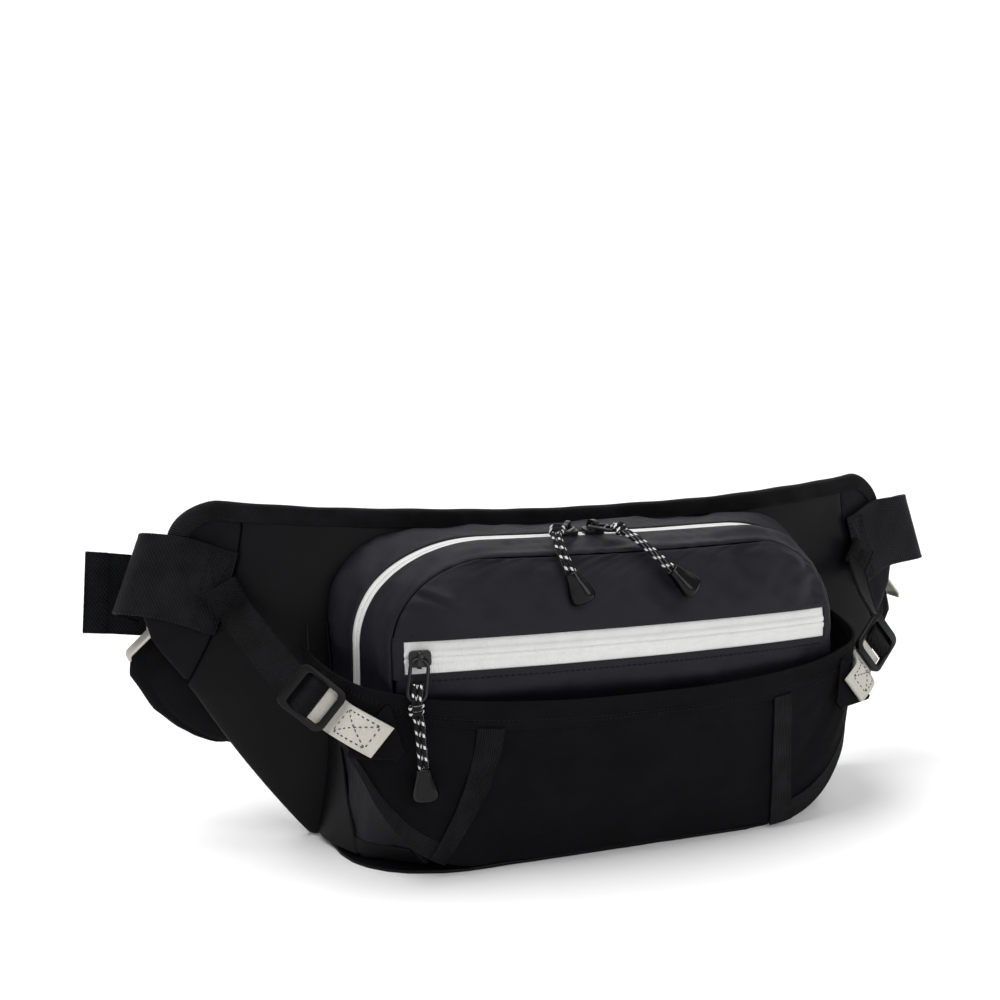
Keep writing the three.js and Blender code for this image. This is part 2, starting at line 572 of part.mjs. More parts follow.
function makePull(name, place, ringWay, laterPoints) {
  const { at, out, hang } = place;
  const pivot = at.clone().addScaledVector(out, PIVOT_HEIGHT);
  const [ringWidth, ringLength, ringThick] = PULL_RING;
  const ring = new THREE.Shape(roundedOutline(ringWidth, ringLength, ringWidth / 2 - 0.5, 4));
  ring.holes.push(
    new THREE.Path(roundedOutline(ringWidth - 4.4, ringLength - 4.4, (ringWidth - 4.4) / 2 - 0.3, 3)),
  );
  const ringSolid = new THREE.ExtrudeGeometry(ring, { depth: ringThick, bevelEnabled: false });
  ringSolid.translate(0, -ringLength / 2 + 1.1, -ringThick / 2);
  const up = ringWay.clone().negate();
  const across = up.clone().cross(out).normalize();
  ringSolid.applyMatrix4(new THREE.Matrix4().makeBasis(across, up, across.clone().cross(up)));
  add(`${name}_ring`, ringSolid.translate(pivot.x, pivot.y, pivot.z), finish.metal);

  const cordPoints = [pivot.clone().addScaledVector(ringWay, ringLength + 1), ...laterPoints];
  const route = new THREE.CatmullRomCurve3(cordPoints, false, "centripetal");
  const circle = new THREE.Shape();
  circle.absarc(0, 0, CORD_RADIUS, 0, 2 * Math.PI);
  const cord = new THREE.ExtrudeGeometry(circle, {
    extrudePath: route,
    steps: 9,
    curveSegments: CORD_SIDES / 2,
  });
  add(`${name}_cord`, cord, finish.cord);

  // Moulded end: narrow at the cord, broad and flat at the tip.
  const [wide0, wide1, length, thick] = CORD_END;
  const start = cordPoints.at(-1);
  const way = route.getTangent(1);
  const broad = way.clone().cross(hang.clone().cross(out).cross(way)).normalize();
  const flat = broad.clone().cross(way).normalize();
  const loops = [];
  for (const [share, widen] of [[0, 0], [0.12, 0.25], [0.5, 0.7], [0.85, 1], [1, 0.86]]) {
    const loop = [];
    for (let i = 0; i < 12; i++) {
      const angle = (2 * Math.PI * i) / 12;
      const middle = start.clone().addScaledVector(way, GAP + share * length);
      const broadHalf = (lerp(wide0, wide1, widen) / 2) * Math.cos(angle);
      const flatHalf = (lerp(wide0, thick, widen) / 2) * Math.sin(angle);
      loop.push(middle.addScaledVector(broad, broadHalf).addScaledVector(flat, flatHalf));
    }
    loops.push(loop);
  }
  const outline = loops[0].map((_, i) => {
    const angle = (2 * Math.PI * i) / 12;
    return new THREE.Vector2(Math.cos(angle), Math.sin(angle));
  });
  add(`${name}_cord_end`, loft(loops, outline), finish.plastic);
}

// The front slider rests at the left end of its zip, with its pull hanging straight down.
const FRONT_SLIDER_X = -126;
const frontPoint = frontFace(FRONT_SLIDER_X, FRONT_ZIP_Z);
const turn = Math.asin(FRONT_SLIDER_X / CROWN_RADIUS);
const frontPlace = {
  at: frontPoint,
  out: v3(Math.sin(turn) * Math.cos(CROWN_TILT), -Math.cos(turn), 0).normalize(),
  travel: v3(Math.cos(turn), Math.sin(turn) * Math.cos(CROWN_TILT), -Math.sin(turn) * Math.sin(CROWN_TILT)),
};
const frontRingWay = v3(-0.17, -0.22, -0.96).normalize();
const alongTape = frontRingWay.clone().addScaledVector(frontPlace.out, -frontRingWay.dot(frontPlace.out));
frontPlace.hang = alongTape.normalize();
makeSlider("front_slider", frontPlace);
makePull("front_pull", frontPlace, frontRingWay, [
  v3(-130.3, -82.4, 92), v3(-129.9, -82.6, 82), v3(-129.2, -82.6, 72), v3(-128.5, -82.6, 64),
]);

// Two sliders on the straight top of the main zip, left and right of the middle.
const TOP_SLIDERS = {
  left: {
    x: -27.7,
    hang: v3(-0.6, -0.8, 0),
    ringWay: v3(-0.6, -0.8, 0),
    cord: [v3(-46.3, -71.5, 184.6), v3(-46.6, -78.5, 179.4), v3(-44.9, -83.8, 172.4), v3(-42.6, -85.4, 166.6)],
  },
  right: {
    x: -11,
    hang: v3(0.22, -0.975, 0),
    ringWay: v3(0.22, -0.975, 0),
    cord: [v3(-3.2, -73, 186), v3(3.3, -80, 180.6), v3(11.8, -85.4, 172.4), v3(19.3, -87.8, 165.4)],
  },
};
const zipFront = wall(0.5, ZIP_TO);
const zipRear = wall(0.5, ZIP_FROM);
const zipMiddle = wall(0.5, coilMiddle);
const tapeAcross = zipFront.clone().sub(zipRear).normalize();
const tapeOut = v3(0, tapeAcross.z, -tapeAcross.y).normalize();
for (const side of ["left", "right"]) {
  const { x, hang, ringWay, cord } = TOP_SLIDERS[side];
  const place = { at: v3(x, zipMiddle.y, zipMiddle.z), out: tapeOut, travel: v3(1, 0, 0) };
  place.hang = hang.clone().addScaledVector(tapeOut, -hang.dot(tapeOut)).normalize();
  makeSlider(`main_slider_${side}`, place);
  makePull(`main_pull_${side}`, place, ringWay.normalize(), cord);
}

// ---------- belt ----------

// Each half: sewn flat on the wing, rolled back over the tip, then run in behind to the buckle.
const ROLL = 15; // radius of the loose fold at the wing tip
const tilt = (degrees, sign) => {
  const angle = THREE.MathUtils.degToRad(degrees);
  return v3(-sign * Math.sin(angle), 0, Math.cos(angle));
};
// How far the belt's fold stands past x = 263 on each side.
const LEFT_REACH = -6;
const RIGHT_REACH = 10;
function beltStations(sign, reach) {
  const tipX = 263 + reach;
  const tipY = backY(258, 158) - 3;
  const list = [];
  const onWing = [[217, 149], [232, 153], [246, 156]];
  for (const [x, z] of onWing) list.push({ at: v3(sign * x, backY(x, z) - 3.4, z), across: tilt(17, sign) });
  for (const [degrees, lift] of [[-60, 1.5], [-20, 2.5], [20, 3], [60, 2.5], [95, 1.5]]) {
    const angle = THREE.MathUtils.degToRad(degrees);
    const x = tipX - 2 + ROLL * Math.cos(angle);
    const y = tipY + ROLL + ROLL * Math.sin(angle);
    list.push({ at: v3(sign * x, y, 156 + lift), across: tilt(20, sign) });
  }
  return list;
}

for (const [side, sign, reach] of [["left", -1, LEFT_REACH], ["right", 1, RIGHT_REACH]]) {
  add(`belt_wing_${side}`, strap(beltStations(sign, reach), BELT, WEBBING, 20), finish.webbing);
  // The pale binding on the wing tip, under the belt.
  const tip = (u, v) => {
    const z = lerp(109, 132, v);
    const x = between(PAD_TIP, z) + 1.2;
    const y = backY(x, z);
    return v3(sign * (x + 0.5 * u), lerp(y + 3.5, y + 16, u), z);
  };
  add(`wing_tip_binding_${side}`, slab(tip, 2, 4, ...(sign < 0 ? [0, 1.4] : [-1.4, 0])), finish.cream);
}

const upright = v3(0, 0, 1);
const MALE_BAR_X = -50;
const FEMALE_BAR_X = 36;
const leftEnd = beltStations(-1, LEFT_REACH).at(-1).at;
const rightEnd = beltStations(1, RIGHT_REACH).at(-1).at;
function rearRun(from, sign, barX) {
  const start = from.clone().add(v3(-sign * 2.2, 0, 0));
  return [
    { at: start, across: tilt(18, sign) },
    { at: v3(sign * 215, start.y + 1.5, 151), across: tilt(12, sign) },
    { at: v3(sign * 150, BUCKLE.y - 6, 140), across: tilt(6, sign) },
    { at: v3(sign * 95, BUCKLE.y - 1.5, 133), across: upright },
    { at: v3(barX, BUCKLE.y, BUCKLE.z), across: upright },
  ];
}
add("belt_rear_left", strap(rearRun(leftEnd, -1, MALE_BAR_X - 12.8), BELT, WEBBING, 16), finish.webbing);
add("belt_rear_right", strap(rearRun(rightEnd, 1, FEMALE_BAR_X + 21.4), BELT, WEBBING, 16), finish.webbing);

// The free tail comes out of the adjuster, runs back outside the belt and ends in a folded hem.
const TAIL_END = -293;
const tailStations = [
  { at: v3(MALE_BAR_X - 7, BUCKLE.y + 4.4, BUCKLE.z), across: upright },
  { at: v3(-95, BUCKLE.y + 3.6, 131), across: upright },
  { at: v3(-170, BUCKLE.y + 2, 134), across: tilt(2, -1) },
  { at: v3(-240, BUCKLE.y, 138), across: tilt(4, -1) },
  { at: v3(TAIL_END + 13, BUCKLE.y - 3, 140), across: tilt(4, -1) },
];
add("belt_tail", strap(tailStations, BELT, WEBBING, 12), finish.webbing);
const hemStations = [
  { at: v3(TAIL_END + 12, BUCKLE.y - 3, 140), across: tilt(4, -1) },
  { at: v3(TAIL_END, BUCKLE.y - 4, 140.4), across: tilt(4, -1) },
];
add("belt_tail_hem", strap(hemStations, BELT, 2 * WEBBING, 1), finish.webbing);

// ---------- side-release buckle ----------

const inBuckle = (geometry) => geometry.translate(BUCKLE.x, BUCKLE.y, BUCKLE.z);
const H = BUCKLE.height / 2;
const D = BUCKLE.depth / 2;
const CASE_START = -6; // mouth of the female case
const CASE_END = 32; // back of its cavity
const CAVITY = 3.6; // half depth of the cavity

// Female: two cover plates joined by an end block, then a slotted tail for the sewn webbing.
const female = union(
  box(CASE_START, CASE_END + 0.5, -D, -CAVITY, -H, H),
  box(CASE_START, CASE_END + 0.5, CAVITY, D, -H, H),
  box(CASE_END, CASE_END + 8, -D, D, -H, H),
  box(CASE_END + 7, CASE_END + 19, -3.5, 3.5, -H, -BELT / 2 - 1),
  box(CASE_END + 7, CASE_END + 19, -3.5, 3.5, BELT / 2 + 1, H),
  box(CASE_END + 20.5, CASE_END + 24.5, -3.5, 3.5, -H, H),
  box(CASE_END + 18.5, CASE_END + 21, -3.5, 3.5, -H, -BELT / 2 - 1),
  box(CASE_END + 18.5, CASE_END + 21, -3.5, 3.5, BELT / 2 + 1, H),
);
add("buckle_female", inBuckle(female), finish.plastic);

// Male: adjuster frame with two slots, a shoulder, and a centre tongue inside the case.
const male = union(
  box(-62, -58, -2.6, 2.6, -H, H),
  box(-52, -48, -2.6, 2.6, -H, H),
  box(-62, -10, -2.6, 2.6, -H, -BELT / 2 - 1),
  box(-62, -10, -2.6, 2.6, BELT / 2 + 1, H),
  box(-38, -9, -D + 0.5, D - 0.5, -H, H),
  box(-10, 26, -CAVITY + 0.5, CAVITY - 0.5, -5, 5),
);
add("buckle_male", inBuckle(male), finish.plastic);

// Two sprung prongs, which are squeezed towards the tongue to let the buckle go.
for (const [name, sign] of [["upper", 1], ["lower", -1]]) {
  const arm = new THREE.Shape(
    [[-8.6, 18], [10, 19], [14, 24], [22, 29], [26, 27], [28, 20], [12, 14], [-8.6, 13]].map(
      ([x, z]) => new THREE.Vector2(x, sign * z),
    ),
  );
  const prong = new THREE.ExtrudeGeometry(arm, { depth: 2 * CAVITY - 1, bevelEnabled: false });
  prong.rotateX(Math.PI / 2).translate(0, CAVITY - 0.5, 0);
  add(`buckle_prong_${name}`, inBuckle(prong), finish.plastic);
}

const root = new THREE.Group();
root.add(bag);
export default root;
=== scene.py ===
"""A zipped waist pack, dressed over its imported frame: cloth panels, zips, webbing, cords and moulded parts.

Lengths are millimetres in the bag's own frame, whose y = 0 is the front face of the back panel, until
metres() turns them into the frame's metres.
"""

import json
import math

import bpy
import numpy as np
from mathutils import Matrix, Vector


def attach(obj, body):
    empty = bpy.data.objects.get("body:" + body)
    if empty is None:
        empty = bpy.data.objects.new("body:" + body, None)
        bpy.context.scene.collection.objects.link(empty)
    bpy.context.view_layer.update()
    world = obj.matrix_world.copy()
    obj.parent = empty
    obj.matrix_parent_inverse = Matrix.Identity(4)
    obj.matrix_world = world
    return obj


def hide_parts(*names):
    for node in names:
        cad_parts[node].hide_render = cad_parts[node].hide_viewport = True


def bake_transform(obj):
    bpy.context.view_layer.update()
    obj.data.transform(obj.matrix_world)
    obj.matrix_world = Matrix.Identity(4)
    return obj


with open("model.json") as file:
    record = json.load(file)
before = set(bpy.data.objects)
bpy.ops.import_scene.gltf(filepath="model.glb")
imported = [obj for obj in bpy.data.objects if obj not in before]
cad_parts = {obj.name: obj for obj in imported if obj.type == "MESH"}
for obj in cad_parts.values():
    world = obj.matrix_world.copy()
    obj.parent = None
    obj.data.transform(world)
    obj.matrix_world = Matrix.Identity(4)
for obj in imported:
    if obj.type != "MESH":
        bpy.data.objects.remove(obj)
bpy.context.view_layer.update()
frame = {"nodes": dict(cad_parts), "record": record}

BACK_FACE_Y = 30.0  # the back panel's front face, in the frame
SIDES = (("left", -1), ("right", 1))

MAIN_HALF, MAIN_TOP, MAIN_DEPTH = 160.0, 185.5, 64.0
FRONT_SHRINK, FRONT_DROP = 19.0, 8.5
FRONT_HALF = MAIN_HALF - FRONT_SHRINK
CORNER_WIDE = [(0, 40), (0.57, 75), (1, 62)]  # the upper corners' widths over the depth
CORNER_TALL = [(0, 44), (0.57, 58), (1, 50)]
CROWN = 22.0
CROWN_RADIUS = (FRONT_HALF**2 + CROWN**2) / (2 * CROWN)
CROWN_TILT = math.radians(9)
TOP_CENTRE, TOP_RISE, WING_CORNER = 191.0, 11.0, 236.0
NOMINAL_TOP = TOP_CENTRE + TOP_RISE
SEAM_LOW = 98.0
ZIP_Z = 123.0
ZIP_BAND = 19.0
ZIP_FROM, ZIP_TO = 0.5, 0.66
ZIP_FOOT = 4 / 34  # share of the arch below each end of the main zip
FRONT_ZIP_HALF = 133.5
BELT, STRAP = 50.0, 20.0


# ---------- small tools ----------

def vec(*xyz):
    return np.array(xyz, float)


def unit(a):
    return a / np.linalg.norm(a)


def metres(points):
    return (np.asarray(points, float) + (0, BACK_FACE_Y, 0)) * 0.001


def lerp(a, b, t):
    return a + (b - a) * t


def clamp(t):
    return max(0.0, min(1.0, t))


def smoothstep(x, low, high):
    t = np.clip((x - low) / (high - low), 0, 1)
    return t * t * (3 - 2 * t)


def between(stations, x):
    return float(np.interp(x, [s[0] for s in stations], [s[1] for s in stations]))


class Curve:
    """A centripetal Catmull-Rom curve through points, from 0 to 1."""

    def __init__(self, points):
        self.p = [np.asarray(p, float) for p in points]

    def __call__(self, t):
        p = self.p
        place = clamp(t) * (len(p) - 1)
        i = min(int(place), len(p) - 2)
        w = place - i
        a = p[i - 1] if i > 0 else 2 * p[0] - p[1]
        b, c = p[i], p[i + 1]
        d = p[i + 2] if i + 2 < len(p) else 2 * p[-1] - p[-2]
        gaps = [max(np.linalg.norm(y - x), 1e-6) ** 0.5 for x, y in ((a, b), (b, c), (c, d))]
        first = ((b - a) / gaps[0] - (c - a) / (gaps[0] + gaps[1]) + (c - b) / gaps[1]) * gaps[1]
        last = ((c - b) / gaps[1] - (d - b) / (gaps[1] + gaps[2]) + (d - c) / gaps[2]) * gaps[1]
        return b + first * w + (3 * (c - b) - 2 * first - last) * w**2 + (2 * (b - c) + first + last) * w**3


WAVES = 14


def waves(s, t, seed, long, short, squash=1.0):
    """A smooth random relief from -1 to 1 over two lengths, with waves from long to short millimetres."""
    random = np.random.default_rng(seed)
    total = np.zeros_like(s)
    for k in range(WAVES):
        length = long * (short / long) ** (k / (WAVES - 1))
        turn = random.uniform(0, math.pi)
        phase = random.uniform(0, 2 * math.pi)
        total += (length / long) ** 0.6 * np.sin(
            2 * math.pi * (s * math.cos(turn) + t * math.sin(turn) * squash) / length + phase
        )
    return total / 2.6


# ---------- meshes ----------

def linked(thing):
    bpy.context.scene.collection.objects.link(thing)
    return thing


def apply_modifiers(piece):
    with bpy.context.temp_override(object=piece):
        for modifier in list(piece.modifiers):
            bpy.ops.object.modifier_apply(modifier=modifier.name)


def mesh_object(name, points, faces, uv):
    mesh = bpy.data.meshes.new(name)
    mesh.from_pydata([tuple(p) for p in metres(points)], [], faces)
    layer = mesh.uv_layers.new(name="weave")
    index = np.zeros(len(mesh.loops), np.int32)
    mesh.loops.foreach_get("vertex_index", index)
    layer.data.foreach_set("uv", np.asarray(uv, np.float32)[index].ravel())
    mesh.shade_smooth()
    return linked(bpy.data.objects.new(name, mesh))


def place(piece, material, slot, *nodes, body="pack"):
    """Gives a piece its material and its body, and hides the CAD nodes that it stands for."""
    piece.data.materials.append(material)
    if body:
        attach(piece, body)
    if nodes:
        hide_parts(*nodes)
    return piece


NEAR_EDGE = (0.0, 0.35, 0.9, 1.8, 3.2)  # distances of a grid's first lines from its edge


def steps(count, length):
    """Shares from 0 to 1, close together near both ends of a length in millimetres."""
    ends = [f / length for f in NEAR_EDGE if f < 0.3 * length]
    middle = np.linspace(ends[-1], 1 - ends[-1], max(count - 2 * len(ends) + 2, 3))
    return np.array(ends[:-1] + list(middle) + [1 - e for e in reversed(ends[:-1])])


def arc_lengths(P, axis):
    step = np.linalg.norm(np.diff(P, axis=axis), axis=2)
    total = np.cumsum(step, axis=axis)
    zero = np.zeros_like(np.take(total, [0], axis=axis))
    return np.concatenate([zero, total], axis=axis)


class Layer:
    """A grid on a surface, with its normals, lengths along both ways and distances from its edges."""

    def __init__(self, surface, columns, rows, out=1, fine=True):
        quarters = np.linspace(0, 1, 5)
        rough = np.array([[surface(u, v) for u in quarters] for v in quarters])
        wide = arc_lengths(rough, 1)[:, -1].max()
        tall = arc_lengths(rough, 0)[-1].max()
        us = steps(columns, wide) if fine else np.linspace(0, 1, columns + 1)
        vs = steps(rows, tall) if fine else np.linspace(0, 1, rows + 1)
        self.P = np.array([[surface(u, v) for u in us] for v in vs])
        self.u = np.meshgrid(us, vs)[0]
        n = np.cross(np.gradient(self.P, axis=1), np.gradient(self.P, axis=0))
        self.N = out * n / np.maximum(np.linalg.norm(n, axis=2, keepdims=True), 1e-9)
        self.s, self.t = arc_lengths(self.P, 1), arc_lengths(self.P, 0)
        self.to_right, self.to_top = self.s[:, -1:] - self.s, self.t[-1:, :] - self.t
        self.side, self.end = np.minimum(self.s, self.to_right), np.minimum(self.t, self.to_top)
        self.edge = np.minimum(self.side, self.end)

    def lift(self, height):
        return self.P + self.N * np.broadcast_to(height, self.P.shape[:2])[..., None]


def rolled(distance, radius, depth):
    """How far a panel's face drops towards a seam or a folded edge."""
    near = 1 - np.clip(distance / radius, 0, 1)
    return depth * (1 - np.sqrt(np.maximum(1 - near**2, 0)))


def closed(name, outer, inner, uv_s, uv_t):
    """A closed body between two grids of points."""
    rows, columns = outer.shape[:2]
    points = np.concatenate([outer.reshape(-1, 3), inner.reshape(-1, 3)])
    uv = np.stack([uv_s.ravel(), uv_t.ravel()], axis=1)
    layer = rows * columns

    def at(i, j, side):
        return side * layer + j * columns + i

    faces = []
    for j in range(rows - 1):
        for i in range(columns - 1):
            faces.append((at(i, j, 0), at(i + 1, j, 0), at(i + 1, j + 1, 0), at(i, j + 1, 0)))
            faces.append((at(i, j, 1), at(i, j + 1, 1), at(i + 1, j + 1, 1), at(i + 1, j, 1)))
    for i in range(columns - 1):
        for j, a, b in ((0, 1, 0), (rows - 1, 0, 1)):
            faces.append((at(i, j, a), at(i + 1, j, a), at(i + 1, j, b), at(i, j, b)))
    for j in range(rows - 1):
        for i, a, b in ((0, 0, 1), (columns - 1, 1, 0)):
            faces.append((at(i, j, a), at(i, j + 1, a), at(i, j + 1, b), at(i, j, b)))
    corner = np.cross(points[faces[0][1]] - points[faces[0][0]], points[faces[0][2]] - points[faces[0][0]])
    if corner @ (outer[0, 0] - inner[0, 0]) < 0:
        faces = [f[::-1] for f in faces]
    return mesh_object(name, points, faces, np.concatenate([uv, uv]))


def panel(name, surface, columns, rows, thick, relief, out=1, base=0.0, fine=True):
    """A cloth panel: its outer face carries the relief, in millimetres over base; it is thick behind that."""
    layer = Layer(surface, columns, rows, out, fine)
    height = base + relief(layer)
    return closed(name, layer.lift(height), layer.lift(height - thick), layer.s, layer.t)


def declare_sheet(surface):
    """Builds a coarse grid over a sewn panel and takes its steps along both ways; they are not used further.
    """
    flat = Layer(surface, 24, 16, fine=False)
    a, b = np.diff(flat.P, axis=1)[:-1], np.diff(flat.P, axis=0)[:, :-1]


def sewn(name, surface, columns, rows, thick, relief, material, slot, *nodes, sheet=True, **more):
    """A panel in its place; with sheet set, declare_sheet also runs over its surface."""
    piece = panel(name, surface, columns, rows, thick, relief, **more)
    place(piece, material, slot, *nodes)
    if sheet:
        declare_sheet(surface)
    return piece


def swept(name, path, sections, caps=True):
    """Sections, one list of points for each station of a path, joined into a tube."""
    rows, columns = len(sections), len(sections[0])
    points = np.concatenate([np.asarray(loop, float) for loop in sections])
    faces = []
    for j in range(rows - 1):
        for i in range(columns):
            k = (i + 1) % columns
            faces.append((j * columns + i, j * columns + k, (j + 1) * columns + k, (j + 1) * columns + i))
    if caps:
        faces.append(tuple(reversed(range(columns))))
        faces.append(tuple(range((rows - 1) * columns, rows * columns)))
    along = np.concatenate([[0], np.cumsum(np.linalg.norm(np.diff(np.asarray(path), axis=0), axis=1))])
    uv = [(along[j], i) for j in range(rows) for i in range(columns)]
    volume = sum(points[f[0]] @ np.cross(points[a], points[b]) for f in faces for a, b in zip(f[1:-1], f[2:]))
    if volume < 0:
        faces = [f[::-1] for f in faces]
    return mesh_object(name, points, faces, uv)


def tube(name, path, radius, sides, closed_path=False):
    """A round tube along points, with a frame that turns as little as it can."""
    path = np.asarray(path, float)
    after = np.roll(path, -1, axis=0) if closed_path else np.concatenate([path[1:], path[-1:]])
    before = np.roll(path, 1, axis=0) if closed_path else np.concatenate([path[:1], path[:-1]])
    tangent = after - before
    tangent /= np.linalg.norm(tangent, axis=1, keepdims=True)
    normal = unit(np.cross(tangent[0], [0.3, 0.5, 0.81]))
    angles = np.linspace(0, 2 * math.pi, sides, endpoint=False)
    rings = []
    for point, way in zip(path, tangent):
        normal = unit(normal - way * (normal @ way))
        other = np.cross(way, normal)
        rings.append([point + radius * (math.cos(a) * normal + math.sin(a) * other) for a in angles])
    if not closed_path:
        return swept(name, path, rings)
    piece = swept(name, [*path, path[0]], [*rings, rings[0]], caps=False)
    piece.modifiers.new("weld", "WELD").merge_threshold = 1e-6
    apply_modifiers(piece)
    return piece


def joined(name, *pieces):
    """Several new pieces as one object."""
    with bpy.context.temp_override(active_object=pieces[0], selected_editable_objects=list(pieces)):
        bpy.ops.object.join()
    pieces[0].name = name
    return pieces[0]


STITCH = ((-0.72, 0.75), (0, 1.0), (0.72, 0.75))  # rings along half a stitch, and their widths


def stitches(name, runs, material, body="pack", slot="black_webbing", length=2.3, gap=1.1, radius=0.34):
    """Rows of thread. Each run is points with the outward normals there; a stitch lies along the run."""
    points, faces = [], []
    for line, out in runs:
        line, out = np.asarray(line, float), np.asarray(out, float)
        along = np.concatenate([[0], np.cumsum(np.linalg.norm(np.diff(line, axis=0), axis=1))])

        def read(values, distance):
            return vec(*[np.interp(distance, along, values[:, c]) for c in range(3)])

        count = max(int(along[-1] / (length + gap)), 1)
        for k in range(count):
            middle = (k + 0.5) * along[-1] / count
            at, up = read(line, middle), unit(read(out, middle))
            way = unit(read(line, middle + 0.5 * length) - read(line, middle - 0.5 * length))
            across = unit(np.cross(up, way))
            first = len(points)
            for share, wide in STITCH:
                for turn in (0.0, 0.5 * math.pi, math.pi, 1.5 * math.pi):
                    points.append(at + way * share * length / 2 + across * radius * wide * math.cos(turn)
                                  + up * radius * wide * math.sin(turn))
            tip = len(points)
            points += [at + way * end * length / 2 - up * radius * 0.6 for end in (-1, 1)]
            for i in range(4):
                j = (i + 1) % 4
                for base in (first, first + 4):
                    faces.append((base + i, base + j, base + 4 + j, base + 4 + i))
                faces.append((first + j, first + i, tip))
                faces.append((first + 8 + i, first + 8 + j, tip + 1))
    piece = mesh_object(name, points, faces, [(0, 0)] * len(points))
    return place(piece, material, slot, body=body)


def seam_run(surface, start, stop, out, height, count):
    """Points from start to stop, both (u, v), that lie height over a surface."""
    line, normals = [], []
    for k in range(count + 1):
        u, v = lerp(vec(*start), vec(*stop), k / count)
        e = 1e-3
        du = surface(min(u + e, 1), v) - surface(max(u - e, 0), v)
        dv = surface(u, min(v + e, 1)) - surface(u, max(v - e, 0))
        n = out * unit(np.cross(du, dv))
        line.append(surface(u, v) + n * height)
        normals.append(n)
    return line, normals


# ---------- materials ----------

class Shade:
    """A procedural material with a Principled shader. Patterns use the piece's own lengths in millimetres."""

    def __init__(self, name, colour, rough, shine):
        self.material = bpy.data.materials.new(name)
        self.material.use_nodes = True
        self.tree = self.material.node_tree
        self.tree.nodes.clear()
        self.link = self.tree.links.new
        out = self.node("ShaderNodeOutputMaterial")
        self.shader = self.node("ShaderNodeBsdfPrincipled")
        self.link(self.shader.outputs[0], out.inputs[0])
        self.shader.inputs["Base Color"].default_value = (*colour, 1)
        self.shader.inputs["Roughness"].default_value = rough
        self.shader.inputs["Specular IOR Level"].default_value = shine
        self.colour, self.bump = colour, None

    def node(self, kind, **settings):
        made = self.tree.nodes.new(kind)
        for key, value in settings.items():
            setattr(made, key, value)
        return made

    def math(self, operation, *values):
        made = self.node("ShaderNodeMath", operation=operation)
        for socket, value in zip(made.inputs, values):
            if isinstance(value, (int, float)):
                socket.default_value = value
            else:
                self.link(value, socket)
        return made.outputs[0]

    def lengths(self):
        """The two lengths over the cloth, in millimetres."""
        uv = self.node("ShaderNodeUVMap", uv_map="weave")
        split = self.node("ShaderNodeSeparateXYZ")
        self.link(uv.outputs[0], split.inputs[0])
        return split.outputs[0], split.outputs[1]

    def noise(self, scale, detail):
        coordinates = self.node("ShaderNodeTexCoord")
        made = self.node("ShaderNodeTexNoise")
        made.inputs["Scale"].default_value = scale
        made.inputs["Detail"].default_value = detail
        self.link(coordinates.outputs["Object"], made.inputs["Vector"])
        return made.outputs["Fac"]

    def ramp(self, value, low, high, colour_low, colour_high):
        made = self.node("ShaderNodeValToRGB")
        made.color_ramp.elements[0].position = low
        made.color_ramp.elements[1].position = high
        made.color_ramp.elements[0].color = (*colour_low, 1)
        made.color_ramp.elements[1].color = (*colour_high, 1)
        self.link(value, made.inputs[0])
        return made.outputs[0]

    def tint(self, value, low, high, dark, light):
        """Colours the base from dark to light times its colour as value goes from low to high."""
        colours = [tuple(min(c * k, 1.0) for c in self.colour) for k in (dark, light)]
        self.link(self.ramp(value, low, high, *colours), self.shader.inputs["Base Color"])

    def rough_by(self, value, low, high):
        made = self.node("ShaderNodeMapRange")
        made.inputs["To Min"].default_value = low
        made.inputs["To Max"].default_value = high
        self.link(value, made.inputs["Value"])
        self.link(made.outputs[0], self.shader.inputs["Roughness"])

    def raise_by(self, height, depth):
        """Adds a bump, with depth in millimetres."""
        made = self.node("ShaderNodeBump")
        made.inputs["Distance"].default_value = depth * 0.001
        self.link(height, made.inputs["Height"])
        if self.bump is not None:
            self.link(self.bump, made.inputs["Normal"])
        self.bump = made.outputs[0]
        self.link(self.bump, self.shader.inputs["Normal"])

    def sine(self, value, period):
        return self.math("SINE", self.math("MULTIPLY", value, 2 * math.pi / period))


def woven(name, colour, rough, pitch, depth, mottle=(0.82, 1.2), fuzz=0.06, shine=0.08):
    """Plain weave: warp and weft that pass over each other by turns, with a slight colour change."""
    shade = Shade(name, colour, rough, shine)
    s, t = shade.lengths()
    shade.tint(shade.noise(38.0, 4.0), 0.3, 0.7, *mottle)
    shade.rough_by(shade.noise(160.0, 2.0), rough - 0.05, rough + 0.07)
    shade.raise_by(shade.noise(900.0, 2.0), fuzz)
    shade.raise_by(shade.math("MULTIPLY", shade.sine(s, pitch), shade.sine(t, pitch)), depth)
    return shade.material


def ribbed(name, colour, rough, pitch, depth, slant=0.0):
    """Narrow woven tape: ribs across its length, or slanted like twill. Its colour has random tone, and
    painted light and shade: lighter on the ribs, darker between them.
    """
    shade = Shade(name, colour, rough, 0.08)
    s, t = shade.lengths()
    rib = shade.sine(shade.math("ADD", s, shade.math("MULTIPLY", t, slant)), pitch)
    tone_and_rib_shade = shade.math("ADD", shade.math("MULTIPLY", rib, 0.16), shade.noise(60.0, 4.0))
    # random tone, plus painted highlight on the ribs and painted shade between them
    shade.tint(tone_and_rib_shade, 0.28, 0.72, 0.45, 2.0)
    shade.raise_by(shade.noise(1100.0, 2.0), 0.05)
    shade.raise_by(shade.sine(t, 0.9), 0.05)
    shade.raise_by(rib, depth)
    return shade.material


def grained(name, colour, rough, shine, clouds=None, rubbed=None, grain=(2500.0, 1.0, 0.06)):
    """A plain surface.

    Clouds: a noise's scale and detail, where it starts and ends, and its dark and light shares.
    Rubbed: a noise's scale and detail, and the roughness at its ends. Grain: scale, detail and depth.
    """
    shade = Shade(name, colour, rough, shine)
    if clouds:
        shade.tint(shade.noise(*clouds[:2]), *clouds[2:])
    if rubbed:
        shade.rough_by(shade.noise(*rubbed[:2]), *rubbed[2:])
    shade.raise_by(shade.noise(*grain[:2]), grain[2])
    return shade.material


